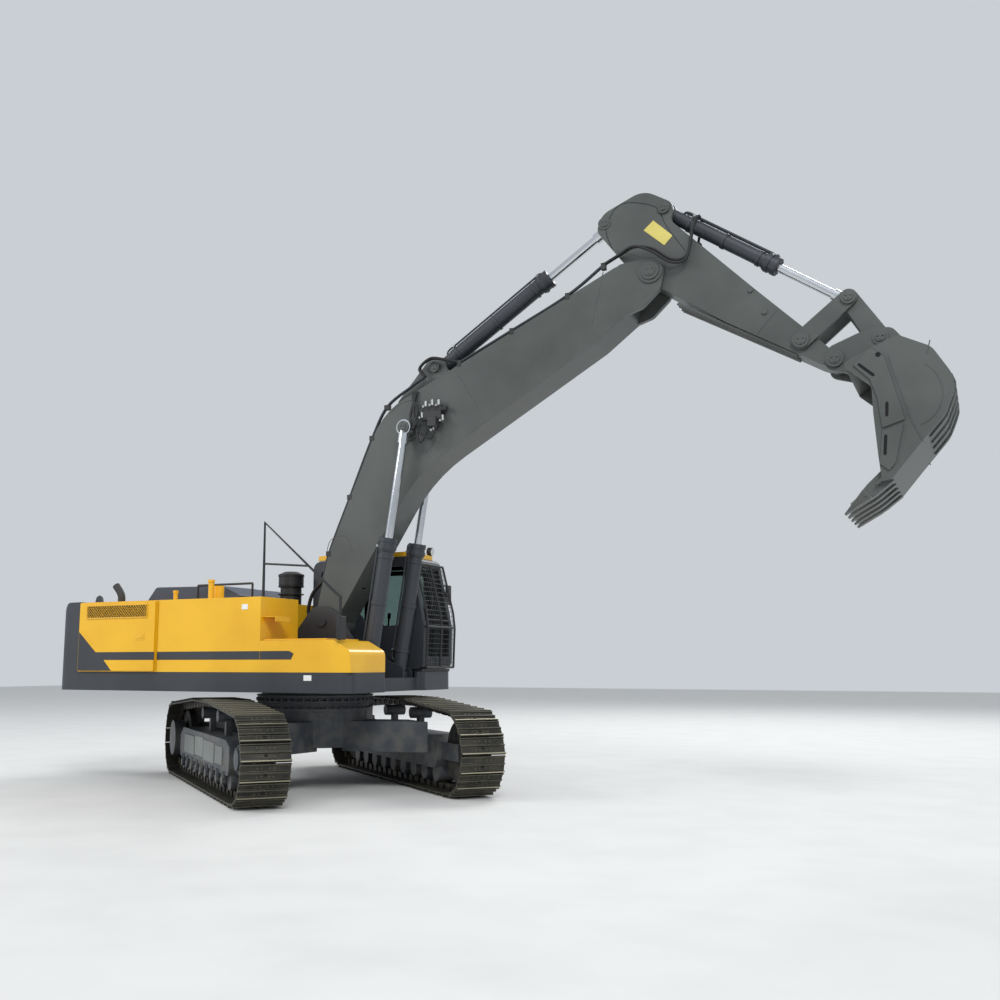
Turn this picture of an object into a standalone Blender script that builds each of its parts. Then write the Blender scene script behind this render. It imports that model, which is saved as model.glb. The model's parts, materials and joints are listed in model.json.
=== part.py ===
"""Crawler excavator: undercarriage, slewing upper structure and a three-piece digging arm.

Everything is laid out in the frame of the upper structure: +X is forward along the boom,
+Y is the machine's left and +Z is up, with the ground at z = 0 under the tracks. The slew axis
stands at MACHINE_X on the X axis. The undercarriage is turned below it by -SLEW_ANGLE.
Lengths are metres and angles are degrees.
"""

import math

import bmesh
import bpy
from mathutils import Vector

# --- whole machine -------------------------------------------------------------------------
MACHINE_X = -2.40          # slew axis; puts the origin under the middle of the machine
SLEW_ANGLE = 40.0          # upper structure turned left over the tracks
GAP = 0.0003               # between pieces that touch
RUN_GAP = 0.006            # between pieces that move past each other
PIN_GAP = 0.002            # radial play of a pin in its bore

# --- undercarriage, in the frame of the tracks ------------------------------------------------
TUMBLER_DISTANCE = 4.34    # sprocket centre to idler centre
TRACK_GAUGE = 2.74
SHOE_WIDTH = 0.60
CHAIN_DEPTH = 0.13         # link, shoe plate and grouser
LOOP_RADIUS = 0.55         # outside of the loop around sprocket and idler
CARRIER_TOP = 1.21         # outside of the loop over the carrier rollers
CARRIER_PLACES = (-0.42, 0.62)
CARRIER_RADIUS = 0.09
ROLLER_COUNT = 9
ROLLER_RADIUS = 0.11
ROLLER_WIDTH = 0.36
FRAME_WIDTH = 0.44
FRAME_TOP = 0.74
WHEEL_CLEARANCE = 0.012    # sprocket and idler rims inside the chain
CAR_BODY_TOP = 1.02
CAR_BODY_BOTTOM = 0.55
BEARING_RADIUS = 0.82
BEARING_BORE = 0.52

# --- upper structure --------------------------------------------------------------------------
BOOM_HALF = 0.27
BOOM_BARREL_R = 0.10
CYL_Y = BOOM_HALF + 0.15   # boom cylinders to each side of the boom
CAB_INNER_Y = CYL_Y + BOOM_BARREL_R + 0.055
DECK_BOTTOM = 1.30
DECK_PLATE = 0.06
SKIRT_TOP = 1.56
SKIRT_WALL = 0.04
UPPER_HALF_WIDTH = 1.49
TAIL_X = -3.12             # back of the house, front of the counterweight
NOSE_X = 1.44              # front of the deck
HOUSE_TOP = 2.55
HOUSE_WALL = 0.04
HOUSE_FRONT_X = -0.55      # house wall behind the cab
TANK_REAR_X = -1.65
TANK_FRONT_X = 0.10
TANK_INNER_Y = -CAB_INNER_Y - 0.045
TANK_WALL = 0.03
DOOR_THICKNESS = 0.035
CW_TAIL = -3.66            # counterweight at its rearmost
TOOLBOX_TOP = 1.97
TOOLBOX_FRONT_X = 1.50
TOOLBOX_WALL = 0.025
HOOD_RISE = 0.26
HOOD_REAR_X = -2.66
HOOD_FRONT_X = -0.95
HOOD_RIGHT_Y = -0.60
HOOD_LEFT_Y = 0.80

# --- cab ------------------------------------------------------------------------------------
CAB_REAR_X = -0.45
CAB_FRONT_X = 1.43
CAB_FLOOR = 1.60
CAB_TOP = 3.24
CAB_WALL = 0.05
CAB_DOOR_REAR_X = 0.02
CAB_DOOR_FRONT_X = 1.06

# --- boom, arm and bucket: pins as (x, z) -------------------------------------------------------
BOOM_FOOT = (0.30, 2.25)
BOOM_TIP = (5.14, 6.58)
BOOM_ROD_PIN = (1.68, 4.88)
BOOM_CYL_BASE = (1.12, 1.50)
ARM_CYL_BASE = (2.02, 5.76)
ARM_ROD_PIN = (4.53, 7.37)
BUCKET_CYL_BASE = (5.32, 7.42)
LEVER_PIN = (6.89, 5.43)
LEVER_TOP = (7.44, 5.87)
BUCKET_PIN = (7.25, 5.15)
ARM_BACK = (4.80, 6.74)    # lower rear corner of the arm's head
BUCKET_LINK_PIN = (7.75, 5.34)

BOOM_PLATE = 0.022
ARM_HALF = 0.19
ARM_RAISE = 40.0           # degrees the arm can rise from its rest pose
BARREL_LIP = 1.48          # nose of the deck where the boom cylinders lean over it
ARM_PLATE = 0.018
SLOT_HALF = 0.125          # room for a cylinder in the arm's head
PIN_RADIUS = 0.055
ARM_BARREL_R = 0.105
BUCKET_BARREL_R = 0.09
ROD_R = 0.055
EYE_HALF = 0.055
EYE_R = 0.12
BUCKET_HALF = 0.75
BUCKET_PLATE = 0.035

COLOURS = {
    # finish: (sRGB hex, roughness, metallic)
    "yellow_paint": ("#E3A81C", 0.40, 0.0),
    "boom_paint": ("#5F645F", 0.45, 0.0),
    "charcoal_paint": ("#2D3137", 0.50, 0.0),
    "hood_paint": ("#343C4C", 0.45, 0.0),
    "black_paint": ("#1D1F22", 0.50, 0.0),
    "track_steel": ("#4A4538", 0.60, 0.8),
    "frame_paint": ("#3A3F45", 0.50, 0.0),
    "cast_iron": ("#3C3D3E", 0.65, 0.6),
    "chrome": ("#D9DCDF", 0.10, 1.0),
    "seat_cloth": ("#26282B", 0.90, 0.0),
    "black_plastic": ("#191A1C", 0.55, 0.0),
}


# --- scene and materials ----------------------------------------------------------------------
def clear_scene() -> None:
    """Remove every object that a new file starts with."""
    for obj in list(bpy.data.objects):
        bpy.data.objects.remove(obj, do_unlink=True)


def linear(hex_colour: str) -> tuple:
    """Turn an sRGB hex colour into the linear values that a shader takes."""
    channels = [int(hex_colour[i:i + 2], 16) / 255 for i in (1, 3, 5)]
    return tuple(c / 12.92 if c <= 0.04045 else ((c + 0.055) / 1.055) ** 2.4 for c in channels)


def finish(name: str):
    """Return the material of a finish in COLOURS, made once."""
    found = bpy.data.materials.get(name)
    if found:
        return found
    colour, roughness, metallic = COLOURS[name]
    made = bpy.data.materials.new(name)
    made.use_nodes = True
    shader = made.node_tree.nodes["Principled BSDF"]
    shader.inputs["Base Color"].default_value = (*linear(colour), 1.0)
    shader.inputs["Roughness"].default_value = roughness
    shader.inputs["Metallic"].default_value = metallic
    made.diffuse_color = (*linear(colour), 1.0)
    return made


# --- outlines -------------------------------------------------------------------------------
def fillet(rows, steps: int = 5) -> list:
    """Round each corner (a, b, radius) of a closed outline with an arc; radius 0 stays sharp."""
    points = []
    count = len(rows)
    for i, (a, b, radius) in enumerate(rows):
        here = Vector((a, b))
        back = (Vector(rows[i - 1][:2]) - here)
        ahead = (Vector(rows[(i + 1) % count][:2]) - here)
        if radius <= 0:
            points.append(tuple(here))
            continue
        half = back.angle(ahead) / 2
        reach = min(radius / math.tan(half), 0.49 * back.length, 0.49 * ahead.length)
        r = reach * math.tan(half)
        back.normalize()
        ahead.normalize()
        centre = here + (back + ahead).normalized() * (r / math.sin(half))
        first = here + back * reach - centre
        last = here + ahead * reach - centre
        turn = math.atan2(first.x * last.y - first.y * last.x, first.dot(last))
        for k in range(steps + 1):
            angle = turn * k / steps
            c, s = math.cos(angle), math.sin(angle)
            points.append((centre.x + first.x * c - first.y * s,
                           centre.y + first.x * s + first.y * c))
    return points


def inset(points, depth: float) -> list:
    """Move each side of a closed outline inwards by depth."""
    count = len(points)
    area = sum(points[i - 1][0] * points[i][1] - points[i][0] * points[i - 1][1]
               for i in range(count))
    side = 1 if area > 0 else -1
    moved = []
    for i in range(count):
        here = Vector(points[i])
        d1 = (here - Vector(points[i - 1])).normalized()
        d2 = (Vector(points[(i + 1) % count]) - here).normalized()
        n1 = Vector((-d1.y, d1.x)) * side
        n2 = Vector((-d2.y, d2.x)) * side
        bisector = (n1 + n2).normalized()
        moved.append(tuple(here + bisector * (depth / max(bisector.dot(n1), 0.3))))
    return moved


def shrink(rows, depth: float) -> list:
    """Move the sides of rows (a, b, radius) inwards by depth and keep the arcs concentric."""
    points = inset([row[:2] for row in rows], depth)
    count = len(rows)
    turns = []
    for i in range(count):
        d1 = Vector(rows[i][:2]) - Vector(rows[i - 1][:2])
        d2 = Vector(rows[(i + 1) % count][:2]) - Vector(rows[i][:2])
        turns.append(d1.x * d2.y - d1.y * d2.x)
    way = 1 if sum(rows[i - 1][0] * rows[i][1] - rows[i][0] * rows[i - 1][1]
                   for i in range(count)) > 0 else -1
    shrunk = []
    for (a, b), row, turn in zip(points, rows, turns):
        change = -depth if turn * way > 0 else depth
        shrunk.append((a, b, max(row[2] + change, 0.0) if row[2] else 0.0))
    return shrunk


def circle(centre, radius: float, sides: int = 24) -> list:
    """Return a closed circular outline."""
    return [(centre[0] + radius * math.cos(2 * math.pi * k / sides),
             centre[1] + radius * math.sin(2 * math.pi * k / sides)) for k in range(sides)]


def belt(circles, offset: float, step: float = 22.5) -> list:
    """Return the closed loop that wraps circles (x, z, radius), listed anticlockwise."""
    count = len(circles)
    normals = []
    for i in range(count):
        x0, z0, r0 = circles[i]
        x1, z1, r1 = circles[(i + 1) % count]
        reach = Vector((x1 - x0, z1 - z0))
        along = reach.normalized()
        lean = (r0 - r1) / reach.length
        across = Vector((along.y, -along.x))
        normals.append(along * lean + across * math.sqrt(1 - lean * lean))
    points = []
    for i, (x, z, r) in enumerate(circles):
        start = math.atan2(normals[i - 1].y, normals[i - 1].x)
        sweep = (math.atan2(normals[i].y, normals[i].x) - start) % (2 * math.pi)
        pieces = max(1, round(math.degrees(sweep) / step))
        for k in range(pieces + 1):
            angle = start + sweep * k / pieces
            points.append((x + (r + offset) * math.cos(angle), z + (r + offset) * math.sin(angle)))
    return points


# --- solids ---------------------------------------------------------------------------------
def to_object(bm):
    """Turn a bmesh into a loose object, faces pointing out."""
    bmesh.ops.recalc_face_normals(bm, faces=bm.faces)
    mesh = bpy.data.meshes.new("solid")
    bm.to_mesh(mesh)
    bm.free()
    obj = bpy.data.objects.new("solid", mesh)
    bpy.context.collection.objects.link(obj)
    return obj


def prism(outline, low: float, high: float, axis: str = "y"):
    """Extrude an outline from low to high along an axis.

    The outline holds (x, z) for axis y, (x, y) for axis z and (y, z) for axis x.
    """
    place = {"y": lambda a, b, c: (a, c, b), "z": lambda a, b, c: (a, b, c),
             "x": lambda a, b, c: (c, a, b)}[axis]
    bm = bmesh.new()
    start = [bm.verts.new(place(a, b, low)) for a, b in outline]
    end = [bm.verts.new(place(a, b, high)) for a, b in outline]
    bm.faces.new(start)
    bm.faces.new(end)
    for i in range(len(outline)):
        bm.faces.new((start[i - 1], start[i], end[i], end[i - 1]))
    return to_object(bm)


def block(x0, x1, y0, y1, z0, z1):
    """Return a box between two corners."""
    return prism([(x0, z0), (x1, z0), (x1, z1), (x0, z1)], y0, y1)


def ring_band(outer, inner, low: float, high: float):
    """Return a closed band between two loops of equal count, extruded along Y."""
    bm = bmesh.new()
    loops = []
    for outline, y in ((outer, low), (outer, high), (inner, high), (inner, low)):
        loops.append([bm.verts.new((a, y, b)) for a, b in outline])
    for k in range(4):
        first, second = loops[k], loops[(k + 1) % 4]
        for i in range(len(outer)):
            bm.faces.new((first[i - 1], first[i], second[i], second[i - 1]))
    return to_object(bm)


def rod(start, end, radius: float, sides: int = 24):
    """Return a cylinder between two points."""
    start, end = Vector(start), Vector(end)
    along = end - start
    bm = bmesh.new()
    bmesh.ops.create_cone(bm, cap_ends=True, segments=sides, radius1=radius, radius2=radius,
                          depth=along.length)
    turn = Vector((0, 0, 1)).rotation_difference(along).to_matrix().to_4x4()
    bmesh.ops.transform(bm, matrix=turn, verts=bm.verts)
    bmesh.ops.translate(bm, vec=(start + end) / 2, verts=bm.verts)
    return to_object(bm)


def pin_y(pin, low: float, high: float, radius: float = PIN_RADIUS, sides: int = 24):
    """Return a cylinder along Y through a pin position (x, z)."""
    return prism(circle(pin, radius, sides), low, high)


def boolean(target, tool, operation: str) -> None:
    """Apply one exact Boolean to target and drop the tool."""
    change = target.modifiers.new("boolean", "BOOLEAN")
    change.operation = operation
    change.object = tool
    graph = bpy.context.evaluated_depsgraph_get()
    mesh = bpy.data.meshes.new_from_object(target.evaluated_get(graph))
    target.modifiers.clear()
    target.data = mesh
    bpy.data.objects.remove(tool, do_unlink=True)


def union(target, *tools):
    """Fuse tools onto target."""
    for tool in tools:
        boolean(target, tool, "UNION")
    return target


def cut(target, *tools):
    """Cut tools out of target."""
    for tool in tools:
        boolean(target, tool, "DIFFERENCE")
    return target


def common(target, tool):
    """Keep what target and tool share."""
    boolean(target, tool, "INTERSECT")
    return target


class Body:
    """A rigid group of pieces under one empty, whose place is on the group's joint axis."""

    def __init__(self, name: str, place, parent=None, turn: float = 0.0):
        self.place = Vector(place)
        self.empty = bpy.data.objects.new(name, None)
        bpy.context.collection.objects.link(self.empty)
        if parent:
            self.empty.parent = parent.empty
            self.empty.location = self.place - parent.place
        else:
            self.empty.location = self.place
        self.empty.rotation_euler.z = math.radians(turn)

    def add(self, name: str, solid, paint: str):
        """Name a finished solid, paint it and hang it on this body."""
        solid.name = name
        solid.data.name = name
        solid.data.transform(solid.matrix_world)
        solid.data.materials.clear()
        solid.data.materials.append(finish(paint))
        for vertex in solid.data.vertices:
            vertex.co -= self.place
        solid.parent = self.empty
        solid.data.shade_smooth()
        solid.data.set_sharp_from_angle(angle=math.radians(32))
        return solid


# --- undercarriage --------------------------------------------------------------------------
def build_undercarriage(root: Body) -> None:
    """Car body, slewing ring, two track frames with their rollers, wheels and loops."""
    half = TUMBLER_DISTANCE / 2
    wheel_z = LOOP_RADIUS
    chain_inner = LOOP_RADIUS - CHAIN_DEPTH
    frame_inner = TRACK_GAUGE / 2 - FRAME_WIDTH / 2

    centre = prism(circle((0, 0), BEARING_RADIUS, 32), CAR_BODY_BOTTOM, CAR_BODY_TOP, "z")
    leg_rows = ((1, 1), (1, -1), (-1, 1), (-1, -1))
    for sx, sy in leg_rows:
        leg = [(sx * 0.18, sy * 0.35), (sx * 0.72, sy * 0.18), (sx * 1.42, sy * (frame_inner - GAP)),
               (sx * 0.70, sy * (frame_inner - GAP))]
        union(centre, prism(leg, CAR_BODY_BOTTOM - 0.05, CAR_BODY_TOP - 0.12, "z"))
    root.add("car_body", centre, "frame_paint")

    ring = prism(circle((0, 0), BEARING_RADIUS - 0.06, 40), CAR_BODY_TOP + GAP,
                 DECK_BOTTOM - RUN_GAP, "z")
    flange_rows = ((CAR_BODY_TOP + GAP, CAR_BODY_TOP + 0.05), (1.13, 1.17), (1.21, 1.25))
    for low, high in flange_rows:
        union(ring, prism(circle((0, 0), BEARING_RADIUS, 40), low, high, "z"))
    cut(ring, prism(circle((0, 0), BEARING_BORE, 40), CAR_BODY_TOP - 0.1, DECK_BOTTOM + 0.1, "z"))
    root.add("swing_bearing", ring, "frame_paint")

    wheels = [(-half, wheel_z, chain_inner), (half, wheel_z, chain_inner)]
    carriers = [(x, CARRIER_TOP - CHAIN_DEPTH - CARRIER_RADIUS, CARRIER_RADIUS)
                for x in reversed(CARRIER_PLACES)]
    for side, name in ((1, "left"), (-1, "right")):
        y = side * TRACK_GAUGE / 2
        loop = wheels + carriers
        band = ring_band(belt(loop, CHAIN_DEPTH), belt(loop, 0.0),
                         y - SHOE_WIDTH / 2, y + SHOE_WIDTH / 2)
        root.add(f"{name}_track", band, "track_steel")

        y0, y1 = y - FRAME_WIDTH / 2, y + FRAME_WIDTH / 2
        roller_z = CHAIN_DEPTH + ROLLER_RADIUS + WHEEL_CLEARANCE
        reach = half - LOOP_RADIUS + CHAIN_DEPTH - 0.02
        frame_rows = [(-reach + 0.06, 0.32, 0), (reach - 0.06, 0.32, 0), (reach, 0.42, 0),
                      (reach, 0.66, 0), (reach - 0.22, FRAME_TOP, 0), (-reach + 0.24, FRAME_TOP, 0),
                      (-reach, 0.62, 0), (-reach, 0.42, 0)]
        frame = prism(fillet(frame_rows), y0, y1)
        span = TUMBLER_DISTANCE - 1.14
        for k in range(ROLLER_COUNT):
            x = -span / 2 + span * k / (ROLLER_COUNT - 1)
            union(frame, pin_y((x, roller_z), y - ROLLER_WIDTH / 2, y + ROLLER_WIDTH / 2,
                               ROLLER_RADIUS, 16))
        for x in CARRIER_PLACES:
            top = CARRIER_TOP - CHAIN_DEPTH - CARRIER_RADIUS
            union(frame, block(x - 0.05, x + 0.05, y - 0.04, y + 0.04, FRAME_TOP - 0.04, top),
                  pin_y((x, top), y - 0.15, y + 0.15, CARRIER_RADIUS - WHEEL_CLEARANCE, 16))
        for sy in (-1, 1):
            arm0, arm1 = sorted((y + sy * 0.10, y + sy * 0.16))
            for x0, x1 in ((half - 0.45, half + 0.12), (-half - 0.12, -half + 0.45)):
                union(frame, block(x0, x1, arm0, arm1, wheel_z - 0.11, wheel_z + 0.11))
        for x in (-half, half):
            union(frame, pin_y((x, wheel_z), y - 0.13, y + 0.13, 0.07))
        hub = pin_y((-half, wheel_z), y + side * 0.15, y + side * 0.27, 0.26, 32)
        motor = pin_y((-half, wheel_z), y - side * 0.15, y - side * 0.29, 0.23, 32)
        root.add(f"{name}_track_frame", union(frame, hub, motor), "frame_paint")

        rim = chain_inner - WHEEL_CLEARANCE
        idler = pin_y((half, wheel_z), y - 0.085, y + 0.085, rim, 40)
        cut(idler, pin_y((half, wheel_z), y - 0.2, y + 0.2, 0.07 + PIN_GAP))
        root.add(f"{name}_idler", idler, "cast_iron")
        sprocket = pin_y((-half, wheel_z), y - 0.05, y + 0.05, rim, 40)
        cut(sprocket, pin_y((-half, wheel_z), y - 0.2, y + 0.2, 0.07 + PIN_GAP))
        root.add(f"{name}_sprocket", sprocket, "cast_iron")


# --- upper structure --------------------------------------------------------------------------
def side_outline(depth: float = 0.0) -> list:
    """Plan of the deck: square at the tail, corners rounded at the nose."""
    w = UPPER_HALF_WIDTH
    side = CAB_INNER_Y
    rows = [(TAIL_X, -w, 0), (NOSE_X + 0.06, -w, 0.12), (NOSE_X + 0.06, -side - 0.025, 0.05),
            (NOSE_X - 0.10, 0.015 - side, 0.05), (NOSE_X - 0.10, side - 0.015, 0.05),
            (NOSE_X, side + 0.025, 0.05), (NOSE_X, w, 0.15), (TAIL_X, w, 0)]
    return fillet(shrink(rows, depth) if depth else rows, 3)


def build_deck(upper: Body) -> None:
    """Floor plate, skirts and the two uprights that carry the boom and its cylinders."""
    deck = prism(side_outline(), DECK_BOTTOM, DECK_BOTTOM + DECK_PLATE, "z")
    skirt = prism(side_outline(), DECK_BOTTOM + 0.01, SKIRT_TOP, "z")
    cut(skirt, prism(side_outline(SKIRT_WALL), DECK_BOTTOM - 0.1, SKIRT_TOP + 0.1, "z"))
    union(deck, skirt)
    upright = fillet([(-2.9, DECK_BOTTOM + 0.02, 0), (NOSE_X - 0.16, DECK_BOTTOM + 0.02, 0),
                      (NOSE_X - 0.16, 1.62, 0.08), (0.98, 1.74, 0.10), (0.58, 2.36, 0.20),
                      (0.40, 2.47, 0.15), (0.14, 2.47, 0.16), (-0.42, 1.78, 0.10),
                      (-0.42, 1.50, 0), (-2.9, 1.50, 0)], 4)
    inner = BOOM_HALF + RUN_GAP
    outer = inner + 0.034
    for side in (1, -1):
        low, high = sorted((side * inner, side * outer))
        union(deck, prism(upright, low, high))
        lug = fillet([(BOOM_CYL_BASE[0] - 0.22, DECK_BOTTOM + 0.02, 0),
                      (NOSE_X - 0.16, DECK_BOTTOM + 0.02, 0),
                      (NOSE_X - 0.16, 1.58, 0.1), (BOOM_CYL_BASE[0] + 0.08, 1.64, 0.1),
                      (BOOM_CYL_BASE[0] - 0.12, 1.62, 0.1)], 4)
        l0 = CYL_Y + BOOM_BARREL_R + 0.008
        low, high = sorted((side * l0, side * (l0 + 0.03)))
        union(deck, prism(lug, low, high))
        low, high = sorted((side * (inner + 0.01), side * (l0 + 0.04)))
        union(deck, pin_y(BOOM_CYL_BASE, low, high, 0.05))
    union(deck, pin_y(BOOM_FOOT, -outer - 0.03, outer + 0.03, PIN_RADIUS + 0.01))
    for x in (-1.9, -0.9):
        union(deck, block(x - 0.02, x + 0.02, -UPPER_HALF_WIDTH + 0.02, UPPER_HALF_WIDTH - 0.02,
                          DECK_BOTTOM + 0.02, 1.49))
    lip = CYL_Y + BOOM_BARREL_R + 0.035
    cut(deck, block(NOSE_X - 0.155, NOSE_X + 0.1, -lip, lip, BARREL_LIP, SKIRT_TOP + 0.3))
    cut(deck, prism(circle((0, 0), 0.35, 24), DECK_BOTTOM - 0.1, DECK_BOTTOM + 0.2, "z"))
    upper.add("upper_deck", deck, "charcoal_paint")


def build_counterweight(upper: Body) -> None:
    """Cast block with a bowed tail, rounded flanks and a tucked lower edge."""
    w = UPPER_HALF_WIDTH
    front = TAIL_X - GAP * 2
    plan = fillet([(front, -w, 0), (front, w, 0), (CW_TAIL + 0.13, w - 0.02, 0.22),
                   (CW_TAIL, 0.8, 2.0), (CW_TAIL, -0.8, 2.0), (CW_TAIL + 0.13, -w + 0.02, 0.22)], 6)
    solid = prism(plan, DECK_BOTTOM, HOUSE_TOP + 0.01, "z")
    side = fillet([(front + 1, DECK_BOTTOM, 0), (CW_TAIL + 0.16, DECK_BOTTOM, 0.08),
                   (CW_TAIL, DECK_BOTTOM + 0.15, 0.1), (CW_TAIL + 0.03, 2.26, 0.3),
                   (CW_TAIL + 0.26, HOUSE_TOP + 0.01, 0.12), (front + 1, HOUSE_TOP + 0.01, 0)], 4)
    upper.add("counterweight", common(solid, prism(side, -2, 2)), "charcoal_paint")


def build_house(upper: Body) -> None:
    """House frame with its door ways, the engine inside it, and the tank at the right front."""
    w = UPPER_HALF_WIDTH
    low = SKIRT_TOP + GAP
    rear = TAIL_X + GAP
    right_front = TANK_REAR_X - 0.01
    plan = [(rear, -w), (right_front, -w), (right_front, TANK_INNER_Y + 0.01),
            (HOUSE_FRONT_X, TANK_INNER_Y + 0.01), (HOUSE_FRONT_X, w), (rear, w)]
    house = prism(plan, low, HOUSE_TOP, "z")
    cut(house, prism(inset(plan, HOUSE_WALL), low - 0.1, HOUSE_TOP - HOUSE_WALL, "z"))
    door_low, door_high = low + 0.05, HOUSE_TOP - 0.07
    cut(house, block(rear + 0.05, right_front - 0.05, -w - 0.1, -w + 0.2, door_low, door_high))
    left_split = (rear + HOUSE_FRONT_X) / 2
    cut(house, block(rear + 0.05, left_split - 0.03, w - 0.2, w + 0.1, door_low, door_high))
    cut(house, block(left_split + 0.03, HOUSE_FRONT_X - 0.05, w - 0.2, w + 0.1, door_low, door_high))
    cut(house, block(HOOD_REAR_X + 0.08, HOOD_FRONT_X - 0.08, HOOD_RIGHT_Y + 0.06,
                     HOOD_LEFT_Y - 0.08, HOUSE_TOP - 0.2, HOUSE_TOP + 0.1))
    upper.add("machine_house", house, "yellow_paint")

    engine = block(-2.85, -1.95, -0.72, 0.62, DECK_BOTTOM + DECK_PLATE + 0.16, 2.42)
    upper.add("engine_block", engine, "cast_iron")

    tank = block(TANK_REAR_X, TANK_FRONT_X, -w, TANK_INNER_Y, low, HOUSE_TOP)
    cut(tank, block(TANK_REAR_X + TANK_WALL, TANK_FRONT_X - TANK_WALL, -w + TANK_WALL,
                    TANK_INNER_Y - TANK_WALL, low + TANK_WALL, HOUSE_TOP - TANK_WALL))
    filler = (-0.95, -1.05)
    cut(tank, prism(circle(filler, 0.05, 16), HOUSE_TOP - 0.2, HOUSE_TOP + 0.1, "z"))
    upper.add("fuel_tank", tank, "yellow_paint")
    neck = prism(circle(filler, 0.07, 20), HOUSE_TOP + GAP, HOUSE_TOP + 0.20, "z")
    upper.add("filler_neck", neck, "yellow_paint")

    stack = prism(circle((-0.75, 0.42), 0.16, 28), HOUSE_TOP + GAP, 2.94, "z")
    union(stack, prism(circle((-0.75, 0.42), 0.19, 28), 2.84, 2.98, "z"))
    upper.add("pre_cleaner", stack, "black_plastic")


def build_doors(upper: Body) -> None:
    """Hinged sheet doors at both sides and the engine hood on top."""
    w = UPPER_HALF_WIDTH
    low, high = SKIRT_TOP + 0.012, HOUSE_TOP - 0.012
    left_split = (TAIL_X + HOUSE_FRONT_X) / 2
    rows = (
        # name, side, hinge x, far edge x
        ("right_rear_door", -1, TAIL_X + 0.02, TANK_REAR_X - 0.03),
        ("left_rear_door", 1, TAIL_X + 0.02, left_split - 0.006),
        ("left_front_door", 1, HOUSE_FRONT_X - 0.02, left_split + 0.006),
    )
    for name, side, hinge_x, far_x in rows:
        face = side * (w + 0.003)
        outer = side * (w + 0.003 + DOOR_THICKNESS)
        door = Body(f"{name}_hinge", (hinge_x, outer, low), upper)
        x0, x1 = sorted((hinge_x, far_x))
        y0, y1 = sorted((face, outer))
        door.add(name, block(x0, x1, y0, y1, low, high), "yellow_paint")

    hinge = (HOOD_REAR_X, (HOOD_RIGHT_Y + HOOD_LEFT_Y) / 2, HOUSE_TOP + 0.012)
    hood_body = Body("engine_hood_hinge", hinge, upper)
    base, top = HOUSE_TOP + 0.006, HOUSE_TOP + HOOD_RISE
    side_rows = [(HOOD_REAR_X, base, 0), (HOOD_FRONT_X, base, 0), (HOOD_FRONT_X, base + 0.10, 0.03),
                 (HOOD_FRONT_X - 0.30, top - 0.02, 0.10), (HOOD_REAR_X + 0.16, top, 0.08),
                 (HOOD_REAR_X, base + 0.06, 0.03)]
    hood = prism(fillet(side_rows, 3), HOOD_RIGHT_Y, HOOD_LEFT_Y)
    cut(hood, prism(fillet(shrink(side_rows, 0.03), 3), HOOD_RIGHT_Y + 0.03, HOOD_LEFT_Y - 0.03))
    cut(hood, block(HOOD_REAR_X + 0.06, HOOD_FRONT_X - 0.06, HOOD_RIGHT_Y + 0.04,
                    HOOD_LEFT_Y - 0.04, base - 0.1, base + 0.05))
    hood_body.add("engine_hood", hood, "hood_paint")


def build_toolbox(upper: Body) -> None:
    """Step-shaped box in front of the tank with a lid that lifts off its inner edge."""
    w = UPPER_HALF_WIDTH
    low = SKIRT_TOP + GAP
    x0 = TANK_FRONT_X + GAP
    rows = [(x0, low, 0), (TOOLBOX_FRONT_X, low, 0), (TOOLBOX_FRONT_X, TOOLBOX_TOP - 0.14, 0.10),
            (TOOLBOX_FRONT_X - 0.26, TOOLBOX_TOP, 0.12), (x0, TOOLBOX_TOP, 0)]
    box = prism(fillet(rows, 4), -w, TANK_INNER_Y)
    wall = TOOLBOX_WALL
    cut(box, prism(fillet(shrink(rows, wall), 4), -w + wall, TANK_INNER_Y - wall))
    mouth = (x0 + 0.06, TOOLBOX_FRONT_X - 0.42)
    cut(box, block(mouth[0], mouth[1], -w + 0.08, TANK_INNER_Y - 0.08, TOOLBOX_TOP - 0.2,
                   TOOLBOX_TOP + 0.1))
    upper.add("toolbox", box, "yellow_paint")

    z0 = TOOLBOX_TOP + 0.002
    lid_body = Body("toolbox_lid_hinge", ((mouth[0] + mouth[1]) / 2, TANK_INNER_Y - 0.04, z0 + 0.02), upper)
    lid = block(mouth[0] - 0.03, mouth[1] + 0.03, -w + 0.04, TANK_INNER_Y - 0.04, z0, z0 + 0.02)
    lid_body.add("toolbox_lid", lid, "yellow_paint")

    y = -w + 0.16
    radius = 0.02
    path = [(0.02, y, HOUSE_TOP + GAP), (0.02, y, 3.56), (1.16, y, 2.58), (1.24, y, 2.52),
            (1.24, y, TOOLBOX_TOP + GAP - 0.0)]
    rail = tube(path, radius)
    union(rail, rod((0.02, y, 3.0), (0.74, y, 2.94), radius * 0.7, 10))
    upper.add("right_handrail", rail, "black_paint")


def tube(path, radius: float):
    """Return a bent round bar with closed ends."""
    curve = bpy.data.curves.new("tube", "CURVE")
    curve.dimensions = "3D"
    curve.bevel_depth = radius
    curve.bevel_resolution = 2
    curve.use_fill_caps = True
    spline = curve.splines.new("POLY")
    spline.points.add(len(path) - 1)
    for point, place in zip(spline.points, path):
        point.co = (*place, 1.0)
    guide = bpy.data.objects.new("tube", curve)
    bpy.context.collection.objects.link(guide)
    graph = bpy.context.evaluated_depsgraph_get()
    mesh = bpy.data.meshes.new_from_object(guide.evaluated_get(graph))
    bpy.data.objects.remove(guide, do_unlink=True)
    bm = bmesh.new()
    bm.from_mesh(mesh)
    bmesh.ops.remove_doubles(bm, verts=bm.verts, dist=0.0001)
    return to_object(bm)


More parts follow.
